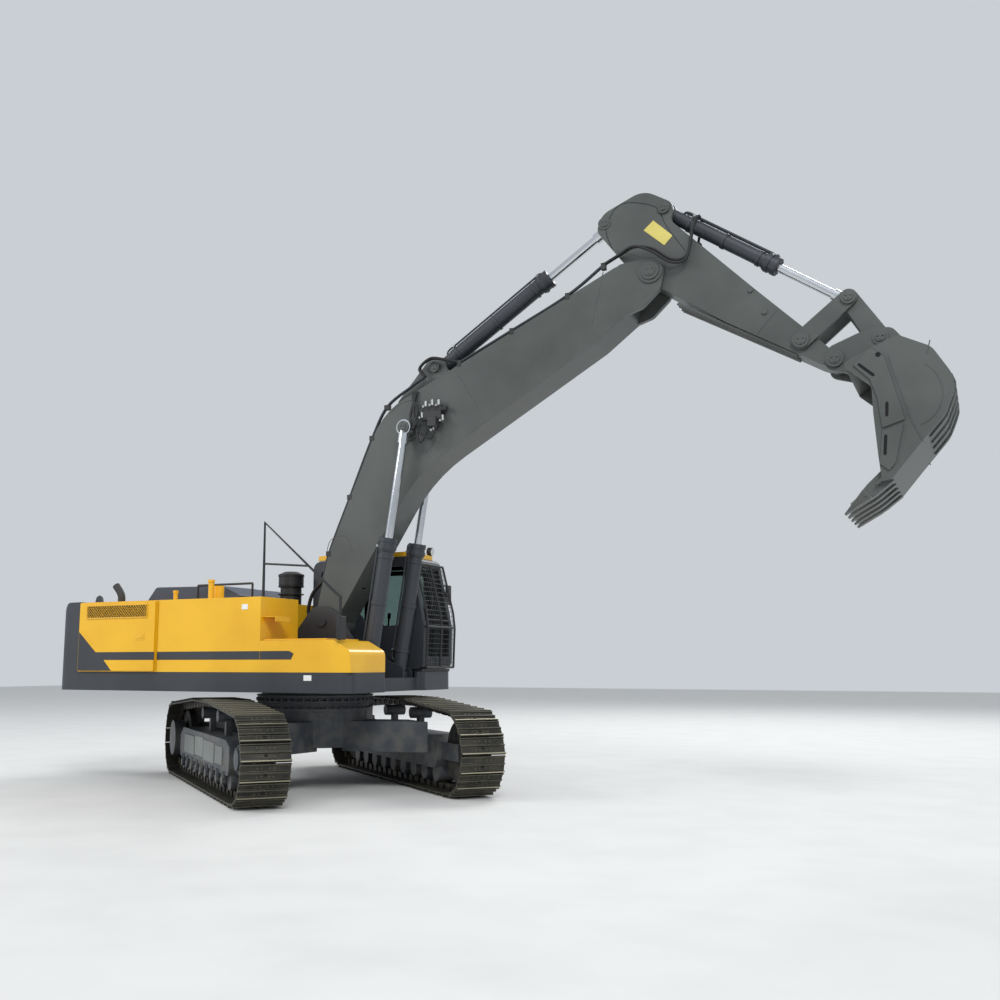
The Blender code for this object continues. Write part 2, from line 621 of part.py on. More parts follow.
# --- cab ------------------------------------------------------------------------------------
def cab_side(depth: float = 0.0) -> list:
    """Side view of the cab, moved inwards by depth."""
    rows = [(CAB_REAR_X, CAB_FLOOR, 0.04), (CAB_FRONT_X, CAB_FLOOR, 0.10), (CAB_FRONT_X + 0.02, 2.20, 0.3),
            (CAB_FRONT_X - 0.20, CAB_TOP - 0.02, 0.10), (CAB_REAR_X, CAB_TOP - 0.04, 0.12)]
    return fillet(shrink(rows, depth) if depth else rows, 4)


def build_cab(upper: Body) -> None:
    """Hollow cab with window openings, its door, seat, consoles and base."""
    w = UPPER_HALF_WIDTH
    wall = CAB_WALL
    shell = prism(cab_side(), CAB_INNER_Y, w)
    cut(shell, prism(cab_side(wall), CAB_INNER_Y + wall, w - wall))
    window = [(CAB_REAR_X + 0.14, 2.22, 0.06), (CAB_FRONT_X - 0.20, 2.22, 0.06),
              (CAB_FRONT_X - 0.32, CAB_TOP - 0.16, 0.06), (CAB_REAR_X + 0.14, CAB_TOP - 0.18, 0.06)]
    cut(shell, prism(fillet(window, 3), CAB_INNER_Y - 0.1, CAB_INNER_Y + 0.1))
    quarter = [(CAB_REAR_X + 0.12, 2.22, 0.05), (CAB_DOOR_REAR_X - 0.08, 2.22, 0.05),
               (CAB_DOOR_REAR_X - 0.08, CAB_TOP - 0.18, 0.05), (CAB_REAR_X + 0.12, CAB_TOP - 0.18, 0.05)]
    cut(shell, prism(fillet(quarter, 3), w - 0.1, w + 0.1))
    doorway = fillet([(CAB_DOOR_REAR_X, CAB_FLOOR + 0.06, 0), (CAB_DOOR_FRONT_X, CAB_FLOOR + 0.06, 0),
                      (CAB_DOOR_FRONT_X, CAB_TOP - 0.14, 0.08), (CAB_DOOR_REAR_X, CAB_TOP - 0.14, 0.04)], 3)
    cut(shell, prism(doorway, w - 0.1, w + 0.1))
    cut(shell, block(CAB_FRONT_X - 0.35, CAB_FRONT_X + 0.2, CAB_INNER_Y + 0.09, w - 0.09, 1.78,
                     CAB_TOP - 0.16))
    cut(shell, block(CAB_REAR_X - 0.1, CAB_REAR_X + 0.1, CAB_INNER_Y + 0.12, w - 0.12, 2.30,
                     CAB_TOP - 0.22))
    cut(shell, block(0.20, 0.85, CAB_INNER_Y + 0.18, w - 0.18, CAB_TOP - 0.3, CAB_TOP + 0.1))
    upper.add("cab_shell", shell, "charcoal_paint")

    base = block(CAB_REAR_X + 0.02, CAB_FRONT_X - 0.02, CAB_INNER_Y + 0.02, w - 0.02, SKIRT_TOP + GAP,
                 CAB_FLOOR - GAP)
    upper.add("cab_base", base, "black_paint")
    roof = prism(fillet([(CAB_REAR_X + 0.02, CAB_INNER_Y + 0.03, 0.1),
                         (CAB_FRONT_X - 0.26, CAB_INNER_Y + 0.03, 0.1),
                         (CAB_FRONT_X - 0.26, w - 0.03, 0.1), (CAB_REAR_X + 0.02, w - 0.03, 0.1)], 4),
                 CAB_TOP - 0.02 + GAP, CAB_TOP + 0.05, "z")
    upper.add("cab_roof_panel", roof, "yellow_paint")

    inside = CAB_FLOOR + wall
    mid = (CAB_INNER_Y + w) / 2
    pedestal = block(-0.05, 0.45, mid - 0.20, mid + 0.20, inside + GAP, 1.98)
    upper.add("seat_pedestal", pedestal, "black_plastic")
    cushion = block(-0.08, 0.48, mid - 0.25, mid + 0.25, 1.98 + GAP, 2.12)
    upper.add("seat_cushion", cushion, "seat_cloth")
    back = prism(fillet([(-0.20, 2.12 + GAP, 0.03), (0.00, 2.12 + GAP, 0.03), (-0.10, 2.84, 0.05),
                         (-0.24, 2.84, 0.05)], 3), mid - 0.24, mid + 0.24)
    upper.add("seat_back", back, "seat_cloth")
    console = block(-0.05, 0.62, CAB_INNER_Y + wall + 0.006, mid - 0.27, inside + GAP, 2.24)
    upper.add("right_console", console, "black_plastic")

    y0, y1 = w - 0.045, w - 0.001
    play = 0.007
    door = Body("cab_door_hinge", (CAB_DOOR_REAR_X + 0.001, w + 0.02, CAB_FLOOR), upper)
    leaf = prism(fillet([(CAB_DOOR_REAR_X + play, CAB_FLOOR + 0.06 + play, 0),
                         (CAB_DOOR_FRONT_X - play, CAB_FLOOR + 0.06 + play, 0),
                         (CAB_DOOR_FRONT_X - play, CAB_TOP - 0.14 - play, 0.08),
                         (CAB_DOOR_REAR_X + play, CAB_TOP - 0.14 - play, 0.04)], 3), y0, y1)
    pane = fillet([(CAB_DOOR_REAR_X + 0.08, 2.20, 0.05), (CAB_DOOR_FRONT_X - 0.08, 2.20, 0.05),
                   (CAB_DOOR_FRONT_X - 0.08, CAB_TOP - 0.22, 0.08),
                   (CAB_DOOR_REAR_X + 0.08, CAB_TOP - 0.22, 0.05)], 3)
    cut(leaf, prism(pane, w - 0.2, w + 0.2))
    door.add("cab_door", leaf, "charcoal_paint")


# --- digging arm ------------------------------------------------------------------------------
def plate_pair(outline, inner: float, outer: float) -> list:
    """Return two plates with the same outline at both sides of the middle."""
    return [prism(outline, inner, outer), prism(outline, -outer, -inner)]


def raised_arm_lane() -> list:
    """Side view of the room that the back of the arm needs in the boom when the arm is raised."""
    tx, tz = BOOM_TIP
    turn = math.radians(ARM_RAISE + 1.5)
    corners = []
    for x, z in ((ARM_BACK[0] - tx - 0.03, ARM_BACK[1] - tz - 0.02),
                 (ARM_ROD_PIN[0] - 0.13 - tx, ARM_ROD_PIN[1] - 0.11 - tz)):
        corners.append((tx + x * math.cos(turn) - z * math.sin(turn),
                        tz + x * math.sin(turn) + z * math.cos(turn)))
    near, far = corners
    return [(tx, tz + 0.5), (far[0], tz + 0.5), far, near, (tx, near[1] - 0.02)]


def boom_outline() -> list:
    """Side view of the boom: round foot, bent knee and tapered tip."""
    fx, fz = BOOM_FOOT
    tx, tz = BOOM_TIP
    return fillet([(fx - 0.20, fz - 0.20, 0.20), (fx + 0.05, fz + 0.93, 1.5), (fx + 0.935, fz + 2.93, 1.0),
                   (tx - 0.33, tz + 0.19, 0.20), (tx - 0.22, tz - 0.10, 0.12),
                   (tx - 0.30, tz - 0.50, 0.10), (tx - 0.76, tz - 0.84, 0.10),
                   (fx + 1.494, fz + 2.02, 2.2), (fx + 0.28, fz + 0.14, 0.15),
                   (fx + 0.08, fz - 0.21, 0.12)], 5)


def build_boom(upper: Body) -> Body:
    """Hollow welded boom with its bosses, tip fork and the arm cylinder's bracket."""
    boom = Body("boom_pivot", (BOOM_FOOT[0], 0, BOOM_FOOT[1]), upper)
    solid = prism(boom_outline(), -BOOM_HALF, BOOM_HALF)
    union(solid, pin_y(BOOM_FOOT, -BOOM_HALF, BOOM_HALF, 0.20, 28))
    cut(solid, prism(inset(boom_outline(), BOOM_PLATE), -BOOM_HALF + BOOM_PLATE, BOOM_HALF - BOOM_PLATE))
    union(solid, pin_y(BOOM_FOOT, -BOOM_HALF + 0.001, BOOM_HALF - 0.001, 0.13))
    cut(solid, pin_y(BOOM_FOOT, -1, 1, PIN_RADIUS + 0.01 + PIN_GAP))
    for side in (1, -1):
        low, high = sorted((side * (BOOM_HALF - 0.01), side * (BOOM_HALF + 0.03)))
        union(solid, pin_y(BOOM_ROD_PIN, low, high, 0.15, 28))
    bx, bz = ARM_CYL_BASE
    lug = fillet([(bx - 0.62, bz - 0.46, 0.05), (bx - 0.10, bz + 0.12, 0.12), (bx + 0.13, bz + 0.10, 0.12),
                  (bx + 0.30, bz - 0.32, 0.0), (bx + 0.10, bz - 0.50, 0), (bx - 0.4, bz - 0.60, 0)], 4)
    lug_inner = ARM_BARREL_R + 0.025
    union(solid, *plate_pair(lug, lug_inner, lug_inner + 0.035))
    union(solid, pin_y(ARM_CYL_BASE, -lug_inner - 0.07, lug_inner + 0.07, 0.05))
    tx, tz = BOOM_TIP
    tip = fillet([(tx - 0.62, tz, 0), (tx - 0.40, tz + 0.16, 0.05), (tx - 0.05, tz + 0.19, 0.15),
                  (tx + 0.19, tz + 0.10, 0.15), (tx + 0.12, tz - 0.24, 0.15),
                  (tx - 0.12, tz - 0.46, 0.15), (tx - 0.60, tz - 0.60, 0)], 5)
    union(solid, *plate_pair(tip, ARM_HALF + RUN_GAP, BOOM_HALF - 0.001))
    lane = ARM_HALF + RUN_GAP
    cut(solid, prism(circle(BOOM_TIP, 0.36, 32), -lane, lane), prism(raised_arm_lane(), -lane, lane))
    union(solid, pin_y(BOOM_TIP, -BOOM_HALF - 0.03, BOOM_HALF + 0.03))
    fx, fz = BOOM_FOOT
    cut(solid, rod((fx - 0.3, 0, fz + 0.55), (fx + 0.5, 0, fz + 0.55), 0.09))
    boom.add("boom", solid, "boom_paint")
    return boom


def arm_outline() -> list:
    """Side view of the arm: high rounded head at the rear, straight taper to the bucket pin."""
    tx, tz = BOOM_TIP
    hx, hz = ARM_ROD_PIN
    cx, cz = BUCKET_CYL_BASE
    bx, bz = BUCKET_PIN
    return fillet([(*ARM_BACK, 0.10), (hx - 0.11, hz - 0.09, 0.12), (hx - 0.03, hz + 0.13, 0.22),
                   (cx - 0.26, cz + 0.30, 0.30), (cx + 0.14, cz + 0.04, 0.20), (cx + 0.08, cz - 0.18, 0.10),
                   (bx - 0.85, bz + 1.00, 0), (bx - 0.05, bz + 0.15, 0.14), (bx + 0.05, bz - 0.13, 0.12),
                   (bx - 0.17, bz - 0.02, 0.10), (bx - 1.23, bz + 0.65, 0), (tx + 0.08, tz - 0.20, 0.20)], 5)


def build_arm(boom: Body) -> Body:
    """Hollow arm with slots at its head for the two cylinders."""
    arm = Body("arm_pivot", (BOOM_TIP[0], 0, BOOM_TIP[1]), boom)
    outline = arm_outline()
    solid = prism(outline, -ARM_HALF, ARM_HALF)
    cut(solid, prism(inset(outline, ARM_PLATE), -ARM_HALF + ARM_PLATE, ARM_HALF - ARM_PLATE))
    thick = ARM_HALF - 0.005
    cx, cz = BUCKET_CYL_BASE
    head = common(prism(inset(outline, 0.006), -thick, thick),
                  prism(circle((cx - 0.34, cz - 0.06), 0.62, 24), -1, 1))
    union(solid, head)
    lane = [(cx - 0.12, cz - 0.04), (cx + 0.20, cz - 0.28), (cx + 0.58, cz + 0.08), (cx + 0.18, cz + 0.38)]
    slots = (circle(ARM_ROD_PIN, 0.27, 28), circle(BUCKET_CYL_BASE, 0.20, 28), lane)
    for outline_row in slots:
        cut(solid, prism(outline_row, -SLOT_HALF, SLOT_HALF))
    union(solid, pin_y(BOOM_TIP, -thick, thick, 0.15, 28))
    cut(solid, pin_y(BOOM_TIP, -1, 1, PIN_RADIUS + PIN_GAP))
    for pin in (LEVER_PIN, BUCKET_PIN):
        union(solid, pin_y(pin, -thick, thick, 0.095, 24))
        cut(solid, pin_y(pin, -1, 1, PIN_RADIUS + PIN_GAP - 0.01))
    lx, lz = LEVER_PIN
    cut(solid, rod((lx - 0.59, 0, lz + 1.17), (lx - 0.84, 0, lz + 0.87), 0.05))
    union(solid, pin_y(BUCKET_CYL_BASE, -ARM_HALF - 0.02, ARM_HALF + 0.02, 0.05))
    arm.add("arm", solid, "boom_paint")
    return arm


def build_cylinder(name: str, base, rod_pin, y: float, barrel_radius: float, barrel_part: float,
                   rod_inside: float, parent: Body) -> None:
    """One hydraulic cylinder: a bored barrel that swings on its base pin, and its rod."""
    foot = Vector((base[0], y, base[1]))
    head = Vector((rod_pin[0], y, rod_pin[1]))
    along = (head - foot).normalized()
    length = (head - foot).length
    barrel_end = foot + along * length * barrel_part
    barrel = Body(f"{name}_swing", foot, parent)
    tube = rod(foot + along * 0.10, barrel_end, barrel_radius, 28)
    union(tube, rod(barrel_end - along * 0.16, barrel_end + along * 0.02, barrel_radius + 0.018, 28))
    union(tube, pin_y(base, y - EYE_HALF, y + EYE_HALF, EYE_R, 24))
    cut(tube, pin_y(base, y - 1, y + 1, 0.05 + PIN_GAP))
    cut(tube, rod(foot + along * 0.20, barrel_end + along * 0.1, ROD_R + 0.006, 24))
    barrel.add(f"{name}_barrel", tube, "charcoal_paint")

    slide = Body(f"{name}_slide", foot, barrel)
    shaft = rod(barrel_end - along * rod_inside, head - along * 0.06, ROD_R, 24)
    union(shaft, rod(head - along * 0.22, head - along * 0.05, ROD_R + 0.02, 24))
    union(shaft, pin_y(rod_pin, y - EYE_HALF, y + EYE_HALF, EYE_R - 0.01, 24))
    cut(shaft, pin_y(rod_pin, y - 1, y + 1, 0.05 + PIN_GAP))
    slide.add(f"{name}_rod", shaft, "chrome")


def build_bucket(arm: Body) -> None:
    """Tipping lever, bucket link and the bucket itself."""
    arm_at_lever = ARM_HALF
    lever = Body("lever_pivot", (LEVER_PIN[0], 0, LEVER_PIN[1]), arm)
    flat = capsule(LEVER_PIN, LEVER_TOP, 0.11, 0.10)
    inner = arm_at_lever + RUN_GAP
    cheeks = plate_pair(flat, inner, inner + 0.04)
    solid = union(cheeks[0], pin_y(LEVER_PIN, -inner - 0.05, inner + 0.05, PIN_RADIUS - 0.01), cheeks[1])
    for side in (1, -1):
        cut(solid, pin_y(LEVER_TOP, side * (inner - 0.1), side * (inner + 0.1), 0.05 + PIN_GAP))
    lever.add("tipping_lever", solid, "boom_paint")

    link = Body("link_pivot", (LEVER_TOP[0], 0, LEVER_TOP[1]), lever)
    bar = capsule(LEVER_TOP, BUCKET_LINK_PIN, 0.105, 0.115)
    outer = inner - RUN_GAP
    pair = plate_pair(bar, outer - 0.055, outer)
    mid = Vector(LEVER_TOP).lerp(Vector(BUCKET_LINK_PIN), 0.52)
    tie = pin_y((mid.x + 0.02, mid.y + 0.01), -outer + 0.01, outer - 0.01, 0.07, 20)
    solid = union(pair[0], tie, pair[1])
    for side in (1, -1):
        low, high = sorted((side * (outer - 0.03), side * (inner + 0.055)))
        union(solid, pin_y(LEVER_TOP, low, high, 0.05))
    for side in (1, -1):
        cut(solid, pin_y(BUCKET_LINK_PIN, side * (outer - 0.2), side * (outer + 0.1), 0.055))
    link.add("bucket_link", solid, "boom_paint")

    bucket = Body("bucket_pivot", (BUCKET_PIN[0], 0, BUCKET_PIN[1]), arm)
    shell_rows = [(7.36, 4.94, 0.05), (7.66, 5.08, 0.05), (7.95, 5.20, 0.10), (8.28, 5.02, 0.20),
                  (8.50, 4.62, 0.30), (8.36, 4.28, 0.30), (8.05, 3.92, 0.20), (7.80, 3.62, 0),
                  (7.70, 3.60, 0), (7.68, 3.90, 0.15), (7.66, 4.35, 0.25), (7.66, 4.66, 0.10)]
    side_rows = shell_rows
    solid = prism(fillet(side_rows, 5), -BUCKET_HALF, BUCKET_HALF)
    hollow = [(7.20, 4.80, 0), (7.40, 4.90, 0), (7.68, 5.04, 0.05), (7.95, 5.155, 0.10), (8.25, 4.99, 0.20),
              (8.455, 4.62, 0.28), (8.325, 4.30, 0.28), (8.02, 3.95, 0.20), (7.73, 3.625, 0), (7.40, 3.40, 0)]
    cut(solid, prism(fillet(hollow, 5), -BUCKET_HALF + BUCKET_PLATE, BUCKET_HALF - BUCKET_PLATE))
    ear = fillet([(BUCKET_PIN[0] - 0.13, BUCKET_PIN[1] - 0.10, 0.10),
                  (BUCKET_PIN[0] - 0.06, BUCKET_PIN[1] + 0.15, 0.10),
                  (BUCKET_LINK_PIN[0] - 0.10, BUCKET_LINK_PIN[1] + 0.13, 0.06),
                  (BUCKET_LINK_PIN[0] + 0.13, BUCKET_LINK_PIN[1] + 0.10, 0.10),
                  (8.16, 5.06, 0), (7.95, 5.17, 0), (7.66, 5.065, 0), (7.42, 4.95, 0)], 4)
    inner_ear = ARM_HALF + RUN_GAP
    for cheek in plate_pair(ear, inner_ear, inner_ear + 0.045):
        union(solid, cheek)
    union(solid, pin_y(BUCKET_PIN, -inner_ear - 0.07, inner_ear + 0.07, PIN_RADIUS - 0.01))
    for side in (1, -1):
        cut(solid, pin_y(BUCKET_LINK_PIN, side * (inner_ear - 0.01), side * (inner_ear + 0.1), 0.055))
    tooth = [(7.86, 3.71), (7.79, 3.61), (7.37, 3.36), (7.36, 3.39), (7.69, 3.68), (7.74, 3.71)]
    for k in range(5):
        y = -0.62 + 0.31 * k
        union(solid, prism(tooth, y - 0.05, y + 0.05))
    bucket.add("bucket", solid, "boom_paint")


def capsule(first, second, r0: float, r1: float) -> list:
    """Outline of a link plate with round ends of two radii."""
    return belt([(first[0], first[1], r0), (second[0], second[1], r1)], 0.0, 20.0)


def main() -> None:
    """Build the machine."""
    clear_scene()
    root = Body("machine", (0, 0, 0))
    root.empty.location.x = MACHINE_X
    undercarriage = Body("undercarriage", (0, 0, 0), root, -SLEW_ANGLE)
    build_undercarriage(undercarriage)
    upper = Body("slew_axis", (0, 0, 0), root)
    build_deck(upper)
    build_counterweight(upper)
    build_house(upper)
    build_doors(upper)
    build_toolbox(upper)
    build_cab(upper)
    boom = build_boom(upper)
    arm = build_arm(boom)
    for name, side in (("left", 1), ("right", -1)):
        build_cylinder(f"{name}_boom_cylinder", BOOM_CYL_BASE, BOOM_ROD_PIN, side * CYL_Y,
                       BOOM_BARREL_R, 0.545, 0.35, upper)
    build_cylinder("arm_cylinder", ARM_CYL_BASE, ARM_ROD_PIN, 0.0, ARM_BARREL_R, 0.66, 0.96, boom)
    build_cylinder("bucket_cylinder", BUCKET_CYL_BASE, LEVER_TOP, 0.0, BUCKET_BARREL_R, 0.62, 0.62, arm)
    build_bucket(arm)


main()
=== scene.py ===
"""Looks of a crawler excavator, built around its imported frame.

Positions are in the frame's metres: +X forward along the boom, +Y to the machine's left and
+Z up. The slew axis stands at SLEW_X.
"""

import functools
import json
import logging
import math
from collections.abc import Sequence
from dataclasses import dataclass
from enum import Enum

import bmesh
import bpy
from mathutils import Matrix, Vector

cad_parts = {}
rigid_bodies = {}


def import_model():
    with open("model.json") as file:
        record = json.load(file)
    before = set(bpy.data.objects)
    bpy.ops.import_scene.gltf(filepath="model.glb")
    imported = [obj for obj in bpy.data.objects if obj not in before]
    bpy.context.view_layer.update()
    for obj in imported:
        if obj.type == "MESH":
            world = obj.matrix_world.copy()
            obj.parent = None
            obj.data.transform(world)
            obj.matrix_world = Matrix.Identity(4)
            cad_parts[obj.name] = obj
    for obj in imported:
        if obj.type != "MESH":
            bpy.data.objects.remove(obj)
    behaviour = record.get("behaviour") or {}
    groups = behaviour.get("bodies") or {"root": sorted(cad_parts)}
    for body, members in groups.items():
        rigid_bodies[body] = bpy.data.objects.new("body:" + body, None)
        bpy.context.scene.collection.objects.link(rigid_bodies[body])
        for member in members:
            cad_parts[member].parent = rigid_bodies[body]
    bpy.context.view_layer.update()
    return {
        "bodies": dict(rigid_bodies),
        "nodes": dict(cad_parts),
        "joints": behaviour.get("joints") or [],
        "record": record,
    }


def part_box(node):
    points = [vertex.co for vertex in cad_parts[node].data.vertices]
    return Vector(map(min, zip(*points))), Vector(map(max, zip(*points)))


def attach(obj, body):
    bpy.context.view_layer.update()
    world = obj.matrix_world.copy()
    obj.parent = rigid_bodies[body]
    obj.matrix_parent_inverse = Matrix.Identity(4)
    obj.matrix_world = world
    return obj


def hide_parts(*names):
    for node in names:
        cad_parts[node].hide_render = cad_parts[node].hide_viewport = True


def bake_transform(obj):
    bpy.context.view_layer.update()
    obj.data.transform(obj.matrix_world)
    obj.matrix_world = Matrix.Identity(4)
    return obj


log = logging.getLogger("excavator")
SLEW_X = -2.40
# A cell of the noise holds this many grains, as single ones are too fine to show.
GRAINS_PER_CELL = 6.0
SHARP_DEGREES = 35
Point = Sequence[float]
Outline = Sequence[Point]


class Grime(Enum):
    """How a surface has aged."""

    CLEAN = "clean"
    DUSTY = "dusty"
    WORN = "worn"


def linear(hex_colour: str) -> tuple:
    """Turn an sRGB hex colour into linear RGBA.

    Args:
        hex_colour: colour as "#RRGGBB".

    Returns:
        Four linear values, alpha 1.
    """
    channels = [int(hex_colour[i:i + 2], 16) / 255 for i in (1, 3, 5)]
    return (*(c / 12.92 if c <= 0.04045 else ((c + 0.055) / 1.055) ** 2.4 for c in channels), 1.0)


def add_node(tree: bpy.types.NodeTree, kind: str, settings: dict | None = None,
             links: dict | None = None) -> bpy.types.Node:
    """Add one shader node.

    Args:
        tree: the node tree.
        kind: node type name.
        settings: attribute or input values by name.
        links: input name to the socket that feeds it.

    Returns:
        The new node.
    """
    node = tree.nodes.new(kind)
    for name, value in (settings or {}).items():
        if isinstance(name, str) and hasattr(node, name):
            setattr(node, name, value)
        else:
            node.inputs[name].default_value = value
    for name, socket in (links or {}).items():
        tree.links.new(socket, node.inputs[name])
    return node


@dataclass(frozen=True)
class Finish:
    """A procedural finish: base colour, its variation, grain, dust and edge wear."""

    name: str
    colour: str
    dark: str
    roughness: float
    metallic: float = 0.0
    grain_mm: float = 3.0
    grain_depth_mm: float = 0.05
    grime: Grime = Grime.CLEAN
    dust: str = "#8C8474"
    edge: str = "#9A9A96"
    coat: float = 0.0
    bevel_mm: float = 6.0
    slot: str = ""

    @functools.cache
    def build(self) -> bpy.types.Material:
        """Make the material, once.

        Returns:
            The bpy material.
        """
        material = bpy.data.materials.new(self.name)
        material.use_nodes = True
        tree = material.node_tree
        shader = tree.nodes["Principled BSDF"]
        place = add_node(tree, "ShaderNodeTexCoord")
        broad = add_node(tree, "ShaderNodeTexNoise", {"Scale": 1.3, "Detail": 4.0},
                         {"Vector": place.outputs["Object"]})
        scale = 1000.0 / self.grain_mm / GRAINS_PER_CELL
        fine = add_node(tree, "ShaderNodeTexNoise", {"Scale": scale, "Detail": 3.0},
                        {"Vector": place.outputs["Object"]})
        tone = add_node(tree, "ShaderNodeMix", {"data_type": "RGBA"})
        tone.inputs[6].default_value = linear(self.dark)
        tone.inputs[7].default_value = linear(self.colour)
        ramp = add_node(tree, "ShaderNodeMapRange", {"From Min": 0.3, "From Max": 0.6},
                        {"Value": broad.outputs["Fac"]})
        tree.links.new(ramp.outputs["Result"], tone.inputs[0])
        colour = tone.outputs[2]
        if self.grime is not Grime.CLEAN:
            colour = self._dusted(tree, place, colour)
        if self.grime is Grime.WORN:
            colour = self._worn(tree, colour)
        rough = add_node(tree, "ShaderNodeMapRange",
                         {"To Min": self.roughness - 0.06, "To Max": self.roughness + 0.08},
                         {"Value": broad.outputs["Fac"]})
        depth = self.grain_depth_mm / 1000
        bump = add_node(tree, "ShaderNodeBump", {"Strength": 0.5, "Distance": depth},
                        {"Height": fine.outputs["Fac"]})
        if self.bevel_mm:
            bevel = add_node(tree, "ShaderNodeBevel", {"samples": 4, "Radius": self.bevel_mm / 1000})
            tree.links.new(bevel.outputs["Normal"], bump.inputs["Normal"])
        tree.links.new(colour, shader.inputs["Base Color"])
        tree.links.new(rough.outputs["Result"], shader.inputs["Roughness"])
        tree.links.new(bump.outputs["Normal"], shader.inputs["Normal"])
        shader.inputs["Metallic"].default_value = self.metallic
        shader.inputs["Coat Weight"].default_value = self.coat
        return material

    def _dusted(self, tree: bpy.types.NodeTree, place: bpy.types.Node,
                colour: bpy.types.NodeSocket) -> bpy.types.NodeSocket:
        """Lay pale dust low down and in broad patches.

        Args:
            tree: the material's node tree.
            place: its texture coordinates.
            colour: the clean colour.

        Returns:
            The dusty colour.
        """
        height = add_node(tree, "ShaderNodeSeparateXYZ", {}, {"Vector": place.outputs["Object"]})
        low = add_node(tree, "ShaderNodeMapRange", {"From Min": 0.0, "From Max": 1.6, "To Min": 0.30,
                                                    "To Max": 0.05}, {"Value": height.outputs["Z"]})
        patch = add_node(tree, "ShaderNodeTexNoise", {"Scale": 5.0, "Detail": 6.0},
                         {"Vector": place.outputs["Object"]})
        spread = add_node(tree, "ShaderNodeMapRange", {"From Min": 0.42, "From Max": 0.62},
                          {"Value": patch.outputs["Fac"]})
        amount = add_node(tree, "ShaderNodeMath", {"operation": "MULTIPLY"})
        tree.links.new(low.outputs["Result"], amount.inputs[0])
        tree.links.new(spread.outputs["Result"], amount.inputs[1])
        mix = add_node(tree, "ShaderNodeMix", {"data_type": "RGBA"})
        tree.links.new(amount.outputs[0], mix.inputs[0])
        tree.links.new(colour, mix.inputs[6])
        mix.inputs[7].default_value = linear(self.dust)
        return mix.outputs[2]

    def _worn(self, tree: bpy.types.NodeTree, colour: bpy.types.NodeSocket) -> bpy.types.NodeSocket:
        """Brighten edges where the finish has rubbed off.

        Args:
            tree: the material's node tree.
            colour: the colour of the faces.

        Returns:
            The colour with its rubbed edges.
        """
        sharp = add_node(tree, "ShaderNodeBevel", {"samples": 4, "Radius": 0.012})
        flat = add_node(tree, "ShaderNodeNewGeometry")
        compare = add_node(tree, "ShaderNodeVectorMath", {"operation": "DOT_PRODUCT"})
        tree.links.new(sharp.outputs["Normal"], compare.inputs[0])
        tree.links.new(flat.outputs["Normal"], compare.inputs[1])
        rim = add_node(tree, "ShaderNodeMapRange", {"From Min": 0.98, "From Max": 0.80},
                       {"Value": compare.outputs["Value"]})
        mix = add_node(tree, "ShaderNodeMix", {"data_type": "RGBA"})
        tree.links.new(rim.outputs["Result"], mix.inputs[0])
        tree.links.new(colour, mix.inputs[6])
        mix.inputs[7].default_value = linear(self.edge)
        return mix.outputs[2]


# Baked polyester body paint: the eye sees a warm, even yellow with a soft sheen.
YELLOW = Finish("sprayed_yellow_panel_paint", "#E9B317", "#DFA711", 0.36, coat=0.25,
                slot="yellow_paint")
# Sprayed machinery enamel on welded plate: a greenish mid grey, slightly mottled.
BOOM_GREY = Finish("sprayed_boom_enamel", "#4D514F", "#424644", 0.40, grain_mm=6.0,
                   slot="boom_paint")
# Dark satin enamel on cast and pressed steel.
CHARCOAL = Finish("sprayed_charcoal_enamel", "#31353B", "#282C31", 0.46, slot="charcoal_paint")
# Anti-slip textured paint: a dull blue-grey with a coarse, broken grain.
HOOD_BLUE = Finish("textured_hood_paint", "#3A4252", "#303746", 0.5, grain_mm=2.0, grain_depth_mm=0.15,
                   slot="hood_paint")
# Black enamel on rails and guards: near black, half matt.
BLACK = Finish("sprayed_black_enamel", "#1E2023", "#17191B", 0.45, slot="black_paint")
# Hot-rolled shoe steel: brown-black, with dried mud low down and pale rubbed edges.
TRACK = Finish("rolled_track_steel", "#353530", "#252523", 0.46, 0.55, 5.0, 0.4, Grime.WORN,
               "#615A4B", "#85816F", slot="track_steel")
# Enamel on the welded undercarriage: slate grey under a thin layer of dust.
FRAME = Finish("sprayed_frame_enamel", "#43484E", "#363A40", 0.5, 0.0, 4.0, 0.1, Grime.DUSTY,
               slot="frame_paint")
# Sand-cast iron: dark, rough and dusty.
CAST = Finish("sand_cast_iron", "#3F4041", "#2F3031", 0.62, 0.5, 3.0, 0.5, Grime.DUSTY,
              slot="cast_iron")
# Ground and polished piston rods: bright, with sharp reflections.
CHROME = Finish("ground_hard_chrome", "#D4D8DC", "#C6CACF", 0.16, 1.0, 2.0, 0.005, bevel_mm=0.0,
                slot="chrome")
# Tightly woven seat cover: soft charcoal without any gloss.
CLOTH = Finish("woven_seat_cloth", "#2A2C30", "#222427", 0.9, grain_mm=1.5, grain_depth_mm=0.4,
               slot="seat_cloth")
# Injection-moulded trim: near black with a fine, even grain.
PLASTIC = Finish("moulded_black_plastic", "#1C1D1F", "#151617", 0.5, grain_mm=1.0, grain_depth_mm=0.1,
                 slot="black_plastic")

# Frame side plates: the same enamel with dried mud, and a painted highlight: its base colour is painted
# pale grey for the light that falls on the sides.
FRAME_SIDE = Finish("dusty_and_lit_frame_side_enamel", "#7F8583", "#5F6565", 0.55, 0.1, 4.0, 0.15, Grime.DUSTY,
                    slot="frame_paint")
# Rubbed grouser crests: bright bare steel with a warm cast.
CREST = Finish("rubbed_bare_steel", "#BDB79F", "#8F8A76", 0.4, 0.8, 4.0, 0.1, slot="track_steel")
# Chain links inside the shoes: darker, oily forged steel.
LINK = Finish("forged_track_links", "#39352D", "#2A2722", 0.5, 0.6, 5.0, 0.3, Grime.DUSTY,
              slot="track_steel")
